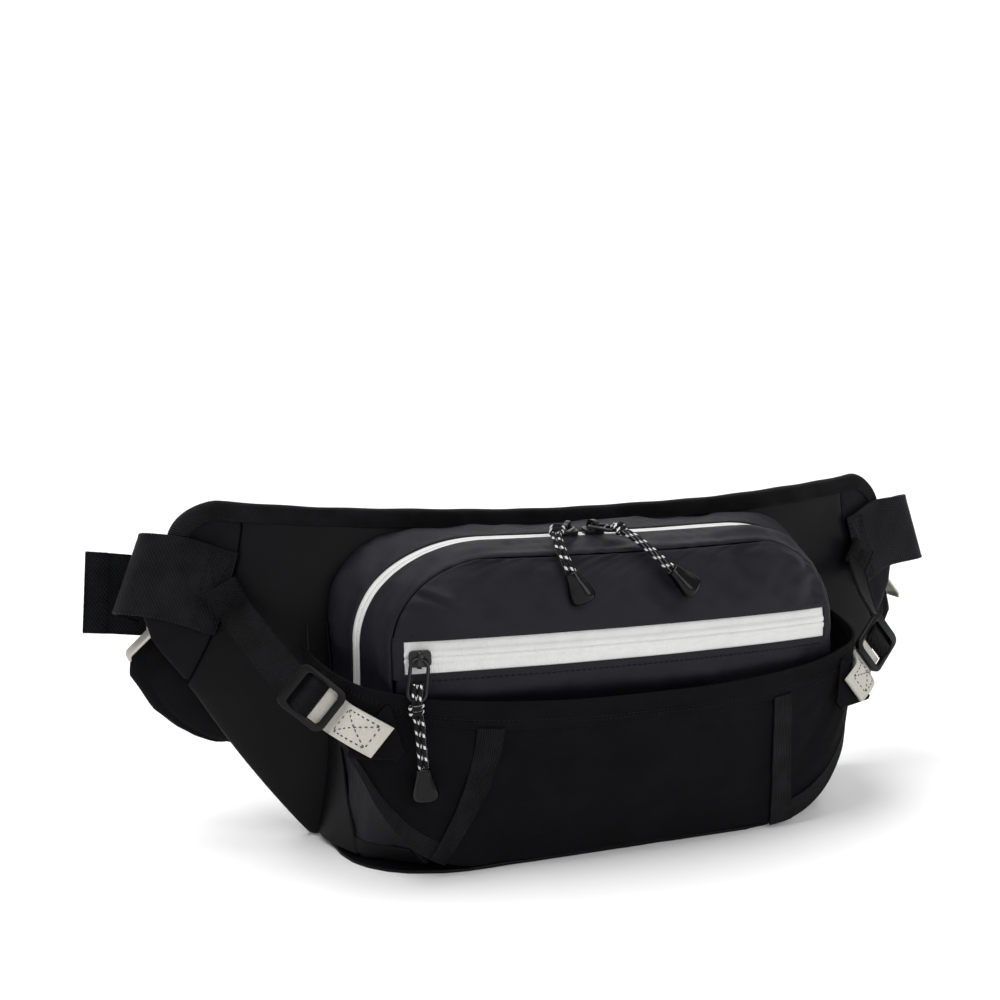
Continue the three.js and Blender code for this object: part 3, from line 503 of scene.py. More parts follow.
def moulded(name, colour, rough, grain=0.03):
    """Moulded plastic: a faint spark-eroded grain, with rubbed patches."""
    return grained(name, colour, rough, 0.18, (55.0, 4.0, 0.35, 0.7, 0.85, 1.3),
                   (70.0, 5.0, rough - 0.08, rough + 0.1), (2200.0, 2.0, grain))


navy = woven("navy nylon", (0.0061, 0.0057, 0.0094), 0.5, 0.55, 0.035, (0.88, 1.12), 0.03, 0.16)
# The wing is the same navy nylon; this darker copy of its colour is painted shade for the wing.
navy_darkened_for_shade = woven("navy nylon darkened as painted shade", (0.0032, 0.0032, 0.0046), 0.55, 0.55, 0.035, (0.88, 1.12), 0.03)
coated = grained("coated black cloth", (0.0028, 0.0025, 0.0033), 0.44, 0.1, (22.0, 3.0, 0.3, 0.7, 0.85, 1.2),
                 (45.0, 4.0, 0.42, 0.52), (700.0, 3.0, 0.035))
webbing = ribbed("black webbing", (0.0028, 0.0028, 0.0034), 0.62, 1.5, 0.16, slant=0.7)
belt_cloth = ribbed("belt webbing", (0.0044, 0.0044, 0.0056), 0.58, 2.1, 0.22, slant=-0.75)
tape = ribbed("ribbed tape", (0.0052, 0.0049, 0.0058), 0.64, 1.3, 0.26)
stretch = woven("stretch cloth", (0.0026, 0.0023, 0.003), 0.74, 0.8, 0.05, (0.85, 1.25), shine=0.06)
pad_cloth = woven("pad cloth", (0.0031, 0.0028, 0.0036), 0.68, 0.9, 0.07, shine=0.06)
cream = woven("cream webbing", (0.5, 0.475, 0.43), 0.78, 1.1, 0.13, (0.9, 1.06), shine=0.2)
foam = woven("grey foam", (0.09, 0.092, 0.098), 0.9, 2.2, 0.2)
thread = grained("black thread", (0.0028, 0.0028, 0.0034), 0.6, 0.15, (300.0, 2.0, 0.3, 0.7, 0.7, 1.6))
tab_thread = grained("tab thread", (0.045, 0.042, 0.04), 0.7, 0.5, (400.0, 2.0, 0.3, 0.7, 0.75, 1.15))
plastic = moulded("black plastic", (0.0026, 0.0026, 0.003), 0.32)
gloss = moulded("smoked cord end", (0.0014, 0.0013, 0.0017), 0.2, grain=0.012)
metal = grained("dark enamelled metal", (0.006, 0.006, 0.0068), 0.3, 0.3, rubbed=(120.0, 4.0, 0.24, 0.4),
                grain=(1500.0, 2.0, 0.015))


def zip_material():
    """Coated white zip: smooth flaps with the soft bumps of the coil below them."""
    shade = Shade("white zip", (0.6, 0.6, 0.59), 0.45, 0.3)
    shade.tint(shade.noise(90.0, 3.0), 0.25, 0.75, 0.95, 1.03)
    shade.raise_by(shade.noise(1400.0, 2.0), 0.03)
    shade.raise_by(shade.sine(shade.lengths()[0], 1.4), 0.05)
    return shade.material


def mesh_material():
    """Spacer mesh for the back: rows of small holes, each row shifted by half a step. The holes are painted
    darker as painted shade, the cloth between them lighter.
    """
    shade = Shade("back mesh", (0.009, 0.009, 0.0105), 0.8, 0.08)
    s, t = shade.lengths()
    hole = shade.math("MULTIPLY", shade.sine(s, 3.2), shade.sine(t, 3.2))
    hole_depth_and_shade = shade.math("POWER", shade.math("ABSOLUTE", hole), 2.0)
    # painted shade: darker colour in the holes, lighter between them
    shade.tint(hole_depth_and_shade, 0.15, 0.8, 1.25, 0.35)
    shade.raise_by(hole_depth_and_shade, -0.5)
    return shade.material


def cord_material():
    """Black cord with pale flecks that wind round it."""
    dark, pale = (0.006, 0.006, 0.007), (0.6, 0.6, 0.6)
    shade = Shade("flecked cord", dark, 0.62, 0.1)
    # uv runs in millimetres along the strand and in twelfths of a turn round it
    s, t = shade.lengths()
    lean = shade.math("MULTIPLY", t, 0.55)
    wound = shade.math("ADD", s, lean)
    fleck = shade.math("MULTIPLY", shade.math("GREATER_THAN", shade.sine(wound, 6.6), 0.62),
                       shade.math("GREATER_THAN", shade.sine(t, 3.0), -0.35))
    shade.link(shade.ramp(fleck, 0.4, 0.6, dark, pale), shade.shader.inputs["Base Color"])
    braid = shade.math("MULTIPLY", shade.sine(wound, 2.2), shade.sine(shade.math("SUBTRACT", s, lean), 2.2))
    shade.raise_by(braid, 0.16)
    return shade.material


white_zip, back_mesh, flecked = zip_material(), mesh_material(), cord_material()


# ---------- camera ----------

camera = linked(bpy.data.objects.new("camera", bpy.data.cameras.new("camera")))
bpy.context.scene.camera = camera
camera.data.sensor_width = 36
camera.data.lens = 46.8
camera.location = (-0.3268, -0.7042, 0.2982)
YAW, PITCH = math.radians(20.4), math.radians(7.2)
looking = Vector((math.sin(YAW) * math.cos(PITCH), math.cos(YAW) * math.cos(PITCH), -math.sin(PITCH)))
camera.rotation_euler = looking.to_track_quat("-Z", "Y").to_euler()


# ---------- pull cords ----------

PULLS = {  # the ring's way, then the cord's route from inside the ring
    "front_pull": ((-0.17, -0.22, -0.96), [
        (-132, -81.6, 97.5), (-130.9, -82.6, 92), (-130.1, -82.8, 82), (-129.2, -82.7, 72),
        (-128.5, -82.6, 64)]),
    "main_pull_left": ((-0.6, -0.8, 0), [
        (-44, -65, 187.6), (-46.2, -71.5, 185), (-46.6, -78.5, 179.8), (-44.9, -83.8, 172.4),
        (-42.6, -85.4, 166.6)]),
    "main_pull_right": ((0.22, -0.975, 0), [
        (-5, -68.6, 187.6), (-3, -73, 186.4), (3.3, -80, 181), (11.8, -85.4, 172.4), (19.3, -87.8, 165.4)]),
}
STRAND = 1.5  # radius of one strand of the doubled cord
CORD_STEPS = 90
joints = {j["name"]: j for j in frame["record"]["behaviour"]["joints"]}


def bag_point(point_m):
    return np.array(point_m) * 1000 - (0, BACK_FACE_Y, 0)


def pull_cord(name, way, route):
    """The doubled cord of one pull: two strands side by side, with a lark's head knot below the ring."""
    joint = joints[f"{name}_swing"]
    pivot, across, way = bag_point(joint["pos_m"]), unit(vec(*joint["axis"])), unit(vec(*way))
    outward = np.cross(way, across)
    outward *= -math.copysign(1, outward[1])
    if name == "front_pull":
        outward = unit(outward - vec(0, 0, outward[2]))
    else:
        outward = vec(0, 0, 1)
    inside = [pivot + way * along + outward * off for along, off in ((13.5, 0.3), (18.5, 1.6), (22.5, 2.7))]
    curve = Curve(inside + [vec(*p) for p in route])
    path = np.array([curve(share) for share in np.arange(CORD_STEPS) / (CORD_STEPS - 1)])
    length = np.linalg.norm(np.diff(path, axis=0), axis=1).sum()
    tangent = np.gradient(path, axis=0)
    tangent /= np.linalg.norm(tangent, axis=1, keepdims=True)
    sides = across - tangent * (tangent @ across)[:, None]
    sides /= np.linalg.norm(sides, axis=1, keepdims=True)
    apart = (STRAND - 0.06) * (1 + 0.1 * np.sin(np.arange(CORD_STEPS) * 0.16))
    strands = [tube("strand", path + sides * (apart * turn)[:, None], STRAND, 12) for turn in (-1, 1)]
    # The knot: the bight lies over both strands, below the ring's end.
    at = int(np.argmin(np.linalg.norm(path - (pivot + way * 26.2 + outward * 2.2), axis=1)))
    up = np.cross(tangent[at], sides[at])
    up *= math.copysign(1, up @ outward)
    for shift, reach in ((-1.5, 3.1), (1.6, 2.9)):
        loop = []
        for angle in np.arange(24) * math.pi / 12:
            c, s = math.cos(angle), math.sin(angle)
            loop.append(path[at] + tangent[at] * (shift + 0.5 * c) + sides[at] * reach * c
                        + up * (0.2 + 2.2 * s))
        strands.append(tube("knot", loop, 1.35, 10, closed_path=True))
    cord = joined(f"{name}_doubled_cord", *strands)
    place(cord, flecked, "fleck_cord", f"{name}_cord", body=name)
    return cord, path, length


cords = {name: pull_cord(name, way, route) for name, (way, route) in PULLS.items()}


# ---------- the bag's surfaces ----------

def back_y(x, z):
    """How far the back panel curves away behind the middle."""
    reach = max(abs(x) - 80, 0)
    return lerp(0.0009, 0.0014, clamp((z - 90) / 110)) * reach * reach


def top_edge(x):
    return TOP_CENTRE + TOP_RISE * min(abs(x) / WING_CORNER, 1) ** 1.6


def middle_half(z):
    """Half width of the back panel's middle, between the wing seams."""
    if z < SEAM_LOW:
        return 172 + 0.83 * z - 0.0012 * z * z
    return 206 + 33 * ((NOMINAL_TOP - z) / (NOMINAL_TOP - SEAM_LOW)) ** 1.8


# Half widths of the wings and of their pads over the height.
WING_TIP = [
    (98, 241), (112, 252), (122, 259), (136, 263), (150, 262), (168, 256), (178, 249), (185, 244.5),
    (190, 240.5), (195, 235), (199, 228), (202, 219),
]
PAD_TIP = [
    (57, 221), (62, 236), (68, 246), (78, 258), (98, 270), (112, 269), (124, 257), (160, 254), (178, 247),
    (190, 233),
]


def on_back(x, level):
    z = level * top_edge(x) / NOMINAL_TOP
    return vec(x, back_y(x, z), z)


def bulge(x):
    """How far the front's crown stands out at x, over its sides."""
    side = math.sqrt(CROWN_RADIUS**2 - FRONT_HALF**2)
    return math.sqrt(CROWN_RADIUS**2 - min(abs(x), FRONT_HALF) ** 2) - side


def top_back(z):
    return 14 * clamp((z - 105) / 77) ** 2


def foot_round(z):
    """How far the front's lower corners draw in."""
    return 25 * max(0, 1 - z / 55) ** 2.4


def wall(a, t):
    """The compartment's wall: a runs from the left foot over the top to the right, t from back to front."""
    foot = 3.2  # where the wall starts, over the floor
    curl = max(0, (t - 0.15) / 0.85) ** 1.4
    tuck = max(0, 1 - t / 0.35) ** 2
    half = MAIN_HALF - FRONT_SHRINK * curl - 2 * tuck
    top = MAIN_TOP - FRONT_DROP * curl - 4 * tuck
    wide, tall = between(CORNER_WIDE, t), between(CORNER_TALL, t)
    side = top - tall - foot
    arc = math.pi / 4 * (wide + tall)
    roof = 2 * (half - wide)
    along = min(a, 1 - a) * (2 * side + 2 * arc + roof)
    x, z = half, foot + along
    if along > side + arc:
        x, z = half - wide - (along - side - arc), top
    elif along > side:
        angle = (along - side) / arc * math.pi / 2
        x, z = half - wide + wide * math.cos(angle), top - tall + tall * math.sin(angle)
    x += 8 * max(0, 1 - z / 60) ** 2 * (1 - t)
    x -= foot_round(z) * max(0, (t - 0.7) / 0.3) ** 2
    front = -MAIN_DEPTH - bulge(x) * math.cos(CROWN_TILT) + top_back(z) + 8 * (1 - smoothstep(z, 0, 70))
    return vec(x if a > 0.5 else -x, lerp(back_y(x, z) - 0.4, front, t), z)


def front_face(x, z, recess=0.0):
    rise = bulge(x) * math.sin(CROWN_TILT) * clamp(z / 60) * (1 - smoothstep(z, 140, 176))
    return vec(x, -MAIN_DEPTH - 1 - bulge(x) * math.cos(CROWN_TILT) + top_back(z) + recess, z + rise)


def front_half_at(z):
    """Half width of the front, inside its rounded upper corners."""
    wide, tall = between(CORNER_WIDE, 1), between(CORNER_TALL, 1)
    over = max(0, z - (MAIN_TOP - FRONT_DROP - tall)) / tall
    return FRONT_HALF - 1 - wide + wide * math.sqrt(max(0, 1 - over**2)) - foot_round(z)


def both_sides(points):
    return points + [(-x, y, z) for x, y, z in reversed(points[:-1])]


pocket_top = Curve(both_sides([
    (-176, 5, 120), (-173, -24, 116.5), (-166, -52, 112.5), (-157, -64.5, 109.5), (-143, -71, 106),
    (-124, -76.5, 102.4), (-96, -83, 100.2), (-50, -90, 98.4), (0, -92, 98),
]))
pocket_foot = Curve(both_sides([
    (-174, 4, 97), (-171.5, -24, 89), (-165, -49, 73), (-157, -59, 58), (-148, -67.5, 38),
    (-131, -73, 17), (-108, -75, 4.5), (-60, -76, 2.6), (0, -77, 2.6),
]))
BAND_SHARE = 0.84


def pocket(u, v):
    foot, top = pocket_foot(u), pocket_top(u)
    belly = 1 - (1 - v) ** 2.2
    return vec(lerp(foot[0], top[0], belly), lerp(foot[1], top[1], belly), lerp(foot[2], top[2], v))


def part_of(surface, u0, u1, v0, v1):
    return lambda u, v: surface(lerp(u0, u1, u), lerp(v0, v1, v))


# ---------- back panel, wings and binding ----------

def back_panel(u, v):
    level = lerp(0.5, NOMINAL_TOP - 1, v)
    return on_back((2 * u - 1) * middle_half(level), level)


def back_relief(layer):
    """Foam-backed: flat in the middle, rolled round at the free outline and pulled in at the wing seams."""
    z = layer.P[..., 2]
    free = 1 - smoothstep(z, 88, 104)
    drop = free * rolled(layer.side, 11, 3.6) + (1 - free) * rolled(layer.side, 4, 1.5)
    drop = drop + rolled(layer.t, 9, 2.6)
    soft = waves(layer.P[..., 0], z, 5, 190, 45) * 0.9 * smoothstep(layer.edge, 0, 30)
    return soft - drop


sewn("back_panel_shell", back_panel, 120, 60, 1.6, back_relief, coated, "coated_black", "back_panel_front")

for side, sign in SIDES:
    def wing(u, v, sign=sign):
        level = lerp(SEAM_LOW - 1, NOMINAL_TOP - 1, v)
        return on_back(sign * lerp(middle_half(level) + 0.3, between(WING_TIP, level), u), level)

    def wing_relief(layer, sign=sign):
        drop = rolled(layer.s, 4, 1.5) + rolled(layer.to_right, 5, 1.6) + rolled(layer.t, 5, 1.4)
        pucker = np.sin(layer.t * 0.62) * np.exp(-layer.s / 7) * 0.22
        soft = waves(layer.s, layer.t, 11 + sign, 70, 18) * 0.6 * smoothstep(layer.edge, 0, 14)
        return soft - drop + pucker

    # the wing cloth takes the darker navy copy: painted shade
    sewn(f"wing_{side}_cloth", wing, 40, 56, 1.5, wing_relief, navy_darkened_for_shade, "navy_nylon", f"wing_panel_{side}",
         out=sign)

    # The rear pad of the wing: a flat foam pad with full, rounded edges.
    def pad_middle(u, v, sign=sign):
        z = lerp(57, 192, v)
        x = lerp(199, between(PAD_TIP, z), u)
        return vec(sign * x, back_y(x, z) + 6.5 + 10 * u**1.3, z)

    layer = Layer(pad_middle, 44, 60, out=sign)
    fullness = 4.2 * np.sqrt(1 - (1 - np.clip(layer.edge / 9, 0, 1)) ** 2)
    ripple = waves(layer.s, layer.t, 31, 60, 16) * 0.5
    groove = 1.1 * np.exp(-((layer.side - 9) / 1.6) ** 2)
    pad = closed(f"wing_{side}_pad", layer.lift(fullness * 0.7 + ripple - groove + 0.1),
                 layer.lift(-fullness - 0.1), layer.s, layer.t)
    place(pad, pad_cloth, "stretch_black", f"wing_pad_{side}")

# The ribbed binding: folded over the top edge and down the wing corners, to under the belt webbing.
CORNER_X = 220.0  # where the top edge starts to turn down
CORNER_SHARE = 0.82  # and its share of the way from the middle to the tip
CORNER_START = math.radians(8)


def edge_point(s):
    """The top outline from the left wing tip (-1) to the right (1), as x and z, with its way inwards."""
    a = abs(s)
    if a < CORNER_SHARE:
        x = a / CORNER_SHARE * CORNER_X
        return math.copysign(x, s), top_edge(x), 0.0, -1.0
    turn = (a - CORNER_SHARE) / (1 - CORNER_SHARE)
    corner = CORNER_START + math.radians(74) * turn
    x = CORNER_X + 24 * math.sin(corner) - 24 * math.sin(CORNER_START) + 5 * turn
    z = top_edge(CORNER_X) - 22 * (math.cos(CORNER_START) - math.cos(corner))
    return math.copysign(x, s), z, -math.copysign(math.sin(corner), s), -math.cos(corner)


# The binding's profile round the edge: how far behind the panel's front, and how far inwards.
BINDING = [
    (-1.5, 9.4), (-1.75, 8.6), (-1.8, 5), (-1.8, 1.2), (-1.3, -0.6), (0.8, -1.6), (2.6, -1.7), (4.6, -1.4),
    (6.3, -0.3), (6.7, 1.4), (6.7, 5), (6.6, 9.4),
]


def binding(u, v):
    x, z, in_x, in_z = edge_point(2 * u - 1)
    place_on = v * (len(BINDING) - 1)
    depth = float(np.interp(place_on, range(len(BINDING)), [b[0] for b in BINDING]))
    inward = float(np.interp(place_on, range(len(BINDING)), [b[1] for b in BINDING]))
    x, z = x + in_x * inward, z + in_z * inward
    return vec(x, back_y(x, min(z, NOMINAL_TOP)) + depth, z)


def binding_relief(layer):
    wavy = 0.22 * np.sin(layer.s * 0.05) + 0.16 * np.sin(layer.s * 0.17 + 1)
    dimples = 0.16 * np.exp(-((layer.t - 1.9) / 0.7) ** 2) * (0.6 + 0.4 * np.sin(layer.s * 2 * math.pi / 3.4))
    return wavy - dimples


sewn("top_edge_binding", binding, 230, 22, 0.9, binding_relief, tape, "black_webbing", "top_binding",
     sheet=False, fine=False)

# The back: foam, and the mesh lining that is sewn down round it.
MESH_HALF = 196.0
CHANNEL_X, CHANNEL_Z = 46.0, 96.0  # the quilting lines


def lining(u, v):
    z = lerp(0.6, TOP_CENTRE - 1.5, v)
    half = min(middle_half(z) - 3, MESH_HALF)
    x = (2 * u - 1) * half
    return vec(x, back_y(x, z) + 2.9, z)


def lining_relief(layer):
    x, z = layer.P[..., 0], layer.P[..., 2]
    near = np.minimum(layer.side, np.minimum(z, TOP_CENTRE - z))
    full = 8.6 * smoothstep(near, 4, 22)
    off = np.minimum(np.abs(np.abs(x) - CHANNEL_X), np.abs(z - CHANNEL_Z))
    channels = np.exp(-((off / 3.2) ** 2)) * smoothstep(near, 18, 34)
    return full - 3.0 * channels + waves(x, z, 77, 120, 30) * 0.5 * smoothstep(near, 6, 30)


liner = sewn("back_mesh_cover", lining, 130, 70, 1.2, lining_relief, back_mesh, "stretch_black",
             "back_mesh_lining", sheet=False, out=-1, base=1.2)


def foam_sheet(u, v):
    z = lerp(25, TOP_CENTRE - 25, v)
    half = min(middle_half(z) - 3, MESH_HALF) - 25
    x = (2 * u - 1) * half
    return vec(x, back_y(x, z) + 2.6, z)


core = sewn("back_foam_core", foam_sheet, 40, 16, 4.6, lambda layer: -rolled(layer.edge, 5, 2.5), foam,
            "grey_foam", "back_foam_pad", sheet=False, out=-1, base=5)


# ---------- main compartment ----------

def puckers(along, from_seam, pitch, height, seed):
    """The small gathers that a seam pulls into the cloth beside it."""
    random = np.random.default_rng(seed)
    shift = random.uniform(0, 6.28, 3)
    turns = along * 2 * math.pi / pitch
    wave = np.sin(turns + shift[0]) + 0.7 * np.sin(turns / 1.63 + shift[1])
    strength = 0.6 + 0.4 * np.sin(turns / 7 + shift[2])
    return height * wave * strength * np.exp(-from_seam / (pitch * 1.1))


def gusset_relief(layer, seed, front):
    to_zip, to_seam = layer.t, layer.to_top
    if not front:  # the rear gusset has the zip at its last edge
        to_zip, to_seam = to_seam, to_zip
    sides = rolled(to_zip, 1.4, 0.4) + rolled(to_seam, 3.2, 1.7)
    gathers = puckers(layer.s, to_zip, 9, 0.26, seed) * smoothstep(to_zip, 1, 5)
    gathers = gathers + puckers(layer.s, to_seam, 11, 0.26, seed + 1)
    soft = waves(layer.s, layer.t, seed + 2, 95, 20, squash=1.6) * smoothstep(layer.end, 0, 10)
    if front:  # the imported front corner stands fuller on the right
        bump = np.exp(-(((layer.u - 0.67) / 0.06) ** 2))
        soft = soft + 3.2 * bump * smoothstep(to_zip, 0, 9) * smoothstep(to_seam, 3, 16)
    return gathers + soft - sides


rear_wall = part_of(wall, 0, 1, 0.0, ZIP_FROM + 0.018)
front_wall = part_of(wall, 0, 1, ZIP_TO - 0.028, 1.0)
zip_wall = part_of(wall, ZIP_FOOT, 1 - ZIP_FOOT, ZIP_FROM - 0.012, ZIP_TO + 0.012)
for name, surface, seed in (("rear_gusset", rear_wall, 101), ("front_gusset", front_wall, 111)):
    sewn(f"{name}_cloth", surface, 300, 26, 0.9,
         lambda layer, seed=seed, front=name == "front_gusset": gusset_relief(layer, seed, front),
         navy, "navy_nylon", name, out=-1, base=1.1)

# Below each end of the main zip a patch closes the wall, with a folded edge over the zip's end.
def patch_relief(layer):
    soft = waves(layer.s, layer.t, 17, 40, 12) * 0.3 * smoothstep(layer.edge, 0, 5)
    return soft - rolled(layer.side, 1.2, 0.6) - rolled(layer.end, 2.0, 0.9)


for side, low, high in (("left", 0.0, ZIP_FOOT + 0.006), ("right", 1 - ZIP_FOOT - 0.006, 1.0)):
    sewn(f"side_{side}_patch_cloth", part_of(wall, low, high, ZIP_FROM - 0.002, ZIP_TO + 0.002), 40, 12, 0.9,
         patch_relief, navy, "navy_nylon", f"side_patch_{side}", out=-1, base=0.9)


def zip_relief(layer):
    """Two coated flaps that meet at a fine line, over the soft ridge of the coil."""
    off = np.abs(layer.t - layer.to_top) / 2  # from the middle of the tape
    ridge = 0.75 * (1 - smoothstep(off, 2.2, 4.4))
    slit = 0.85 * np.exp(-((off / 0.42) ** 2))
    rows = 0.12 * np.sin(layer.s * 2 * math.pi / 1.9) * np.exp(-(((off - 1.9) / 0.55) ** 2))
    return ridge - slit + rows + 0.12 * np.sin(layer.s * 0.09)


def front_strip(u, v):
    half = ZIP_BAND / 2 + 1.5
    return front_face((2 * u - 1) * (FRONT_ZIP_HALF + 1.5), lerp(ZIP_Z - half, ZIP_Z + half, v))


for name, surface, columns, out in (("main_zip", zip_wall, 420, -1), ("front_zip", front_strip, 330, 1)):
    sewn(f"{name}_band", surface, columns, 44, 0.8, zip_relief, white_zip, "white_zip", f"{name}_tape",
         out=out, fine=False)

zip_low, zip_high = ZIP_Z - ZIP_BAND / 2, ZIP_Z + ZIP_BAND / 2


def upper_front(u, v):
    z = lerp(zip_high - 0.6, MAIN_TOP - FRONT_DROP - 1.2, v)
    return front_face((2 * u - 1) * front_half_at(z), z)


def upper_relief(layer):
    """The upper front panel: crowned, with the slack folds that hang from its corners."""
    x, z = layer.P[..., 0], layer.P[..., 2]
    full = 2.6 * smoothstep(layer.side, 0, 34) * smoothstep(layer.to_top, 0, 16)
    edge = rolled(layer.side, 3.4, 1.8) + rolled(layer.to_top, 3.4, 1.8) + rolled(layer.t, 1.2, 0.35)
    broad = 1.5 * waves(x, z, 21, 85, 16, squash=1.3) * smoothstep(layer.edge, 0, 12)

    def crease(x0, z0, x1, z1, width, depth):
        way = unit(vec(x1 - x0, z1 - z0))
        along = (x - x0) * way[0] + (z - z0) * way[1]
        off = -(x - x0) * way[1] + (z - z0) * way[0]
        length = math.hypot(x1 - x0, z1 - z0)
        inside = smoothstep(along, -3, 6) * (1 - smoothstep(along, length - 12, length + 6))
        share = off / width
        return depth * inside * (np.exp(-(share**2)) - 0.7 * np.exp(-((share - 1.6) ** 2)))

    folds = (
        crease(-130, 160, -103, 148, 2.2, -1.5) + crease(-60, 172, -34, 158, 4.5, 0.9)
        + crease(134, 166, 100, 150, 4.0, -0.9) + crease(4, 173, 30, 155, 5.0, -0.8)
        + crease(60, 174, 74, 152, 5.0, 0.8)
    )
    gathers = puckers(layer.s, layer.to_top, 11, 0.42, 41) + puckers(layer.t, layer.side, 9, 0.3, 42)
    gathers = gathers + puckers(layer.s, layer.t, 15, 0.12, 43) * smoothstep(layer.t, 1, 6)
    return full - edge + broad + folds + gathers


upper = panel("front_upper_cloth", upper_front, 190, 60, 0.9, upper_relief, out=1, base=1.0)

# The same cloth closes the front beside both ends of the zip, with a folded edge on the tape.
ends = []
for sign in (-1, 1):
    def zip_end(u, v, sign=sign):
        z = lerp(zip_low - 2.2, zip_high + 2.2, v)
        return front_face(sign * lerp(FRONT_ZIP_HALF + 0.6, front_half_at(z) + 0.6, u), z)

    ends.append(panel("zip_end", zip_end, 12, 16, 0.9,
                      lambda layer: -rolled(layer.s, 1.0, 0.6) - rolled(layer.to_right, 3.0, 1.6),
                      out=sign, base=1.1))
upper = joined("front_upper_cloth", upper, *ends)
place(upper, navy, "navy_nylon", "front_panel_upper")
declare_sheet(upper_front)


def lower_front(u, v):
    z = lerp(3.2, zip_low + 0.6, v)
    recess = 12 * (1 - smoothstep(z, 82, 104)) + 5.6 * (1 - smoothstep(z, 0, 70))
    return front_face((2 * u - 1) * (front_half_at(z) - 1), z, recess)


def lower_relief(layer):
    folds = waves(layer.P[..., 0], layer.P[..., 2], 23, 70, 14) * 0.7 * smoothstep(layer.edge, 2, 9)
    gathers = puckers(layer.s, layer.to_top, 12, 0.2, 52) * smoothstep(layer.to_top, 1, 6)
    return folds + gathers - rolled(layer.to_top, 1.2, 0.35) - rolled(layer.side, 3, 1.5)


sewn("front_lower_cloth", lower_front, 150, 60, 0.9, lower_relief, navy, "navy_nylon", "front_panel_lower",
     base=1.0)

# Half widths of the gusset's foot over its depth, y. The base is cut to them.
FOOT_LEFT = [
    (-74, 100), (-72.5, 112), (-70, 121), (-66, 132), (-59, 143), (-50, 152), (-40, 158), (-26, 162),
    (0, 164),
]
FOOT_RIGHT = [(-74, 78), (-72, 92), (-69, 101), (-60, 116), (-50, 128), (-42, 136), (-26, 150), (0, 160)]
LIP = 0.0165  # share of the arch that the base's turned-up edge covers


def base_sheet(u, v):
    y = lerp(-0.4, -74.0, v)
    return vec(lerp(-between(FOOT_LEFT, y), between(FOOT_RIGHT, y), u), y, 1.1)


floor_cloth = panel("base_cloth", base_sheet, 90, 30, 1.9,
                    lambda layer: waves(layer.s, layer.t, 9, 60, 20) * 0.15 - 0.3, out=-1, base=1.1)
# Its edge is turned up over the foot of the gusset at both sides.
lips = [
    panel("base_lip", part_of(wall, *span, 0.0, 0.985), 10, 70, 1.0,
          lambda layer: -rolled(layer.side, 1.4, 0.8) + 0.25 * np.sin(layer.t * 0.11), out=-1, base=1.9)
    for span in ((0.0, LIP), (1 - LIP, 1.0))
]
place(joined("base_cloth", floor_cloth, *lips), coated, "coated_black", "base_panel")

# The coated cloth comes round from the back panel over the lower rear of the gusset, on both sides.
WRAP = [(0.0, 0.66), (0.02, 0.6), (0.05, 0.47), (0.09, 0.35), (0.13, 0.24), (0.17, 0.12), (0.2, 0.03)]
for side, sign in SIDES:
    def wrap(u, v, sign=sign):
        a = lerp(0.0, 0.2, v)
        return wall(a if sign < 0 else 1 - a, lerp(0.0, between(WRAP, a), u))

    sewn(f"hull_{side}_wrap", wrap, 30, 60, 0.9,
         lambda layer: 0.9 * (1 - smoothstep(layer.s, 0, 14)) - rolled(layer.to_right, 1.4, 0.7),
         coated, "coated_black", sheet=False, out=-sign, base=2.1)


# ---------- stretch pocket ----------

def pocket_relief(layer):
    """Stretch cloth: drum-tight at the seams, with faint level folds where it is pulled sideways."""
    x = layer.P[..., 0]
    level = 0.2 * np.sin(layer.t * 0.42 + 1.3 * np.sin(layer.s * 0.021)) * smoothstep(layer.t, 8, 30)
    middle = smoothstep(np.abs(x), 128, 60)
    soft = waves(layer.s, layer.t, 61, 130, 26, squash=2.2) * 0.8
    ties = 0.78 * np.exp(-(((np.abs(x) - 82) / 9) ** 2))  # drawn in under the two tapes
    return (level * middle + soft) * smoothstep(layer.edge, 0, 12) - rolled(layer.t, 3, 1.2) - ties


pocket_sheet = part_of(pocket, 0.004, 0.996, 0.0, BAND_SHARE + 0.01)
sewn("stretch_pocket_cloth", pocket_sheet, 230, 70, 0.9, pocket_relief, stretch, "stretch_black",
     "stretch_pocket", base=0.3)


def band_relief(layer):
    ridge = 0.3 * np.exp(-((layer.to_top / 1.2) ** 2))
    seam = -0.35 * np.exp(-(((layer.t - 2.2) / 0.6) ** 2))
    gathers = puckers(layer.s, layer.t, 7, 0.12, 8)
    return ridge + seam - rolled(layer.t, 0.9, 0.5) + 0.25 * np.sin(layer.s * 0.045) + gathers


band_sheet = part_of(pocket, 0.0, 1.0, BAND_SHARE - 0.012, 1.0)
sewn("pocket_hem_band", band_sheet, 260, 18, 1.5, band_relief, stretch, "black_webbing", "pocket_top_band",
     sheet=False, base=1.0)


def ridge_relief(layer):
    """Narrow tape with a proud woven edge on both sides."""
    edges = 0.28 * np.exp(-((layer.side / 0.9) ** 2)) - rolled(layer.side, 0.5, 0.3)
    return edges + 0.1 * np.sin(layer.t * 0.3)


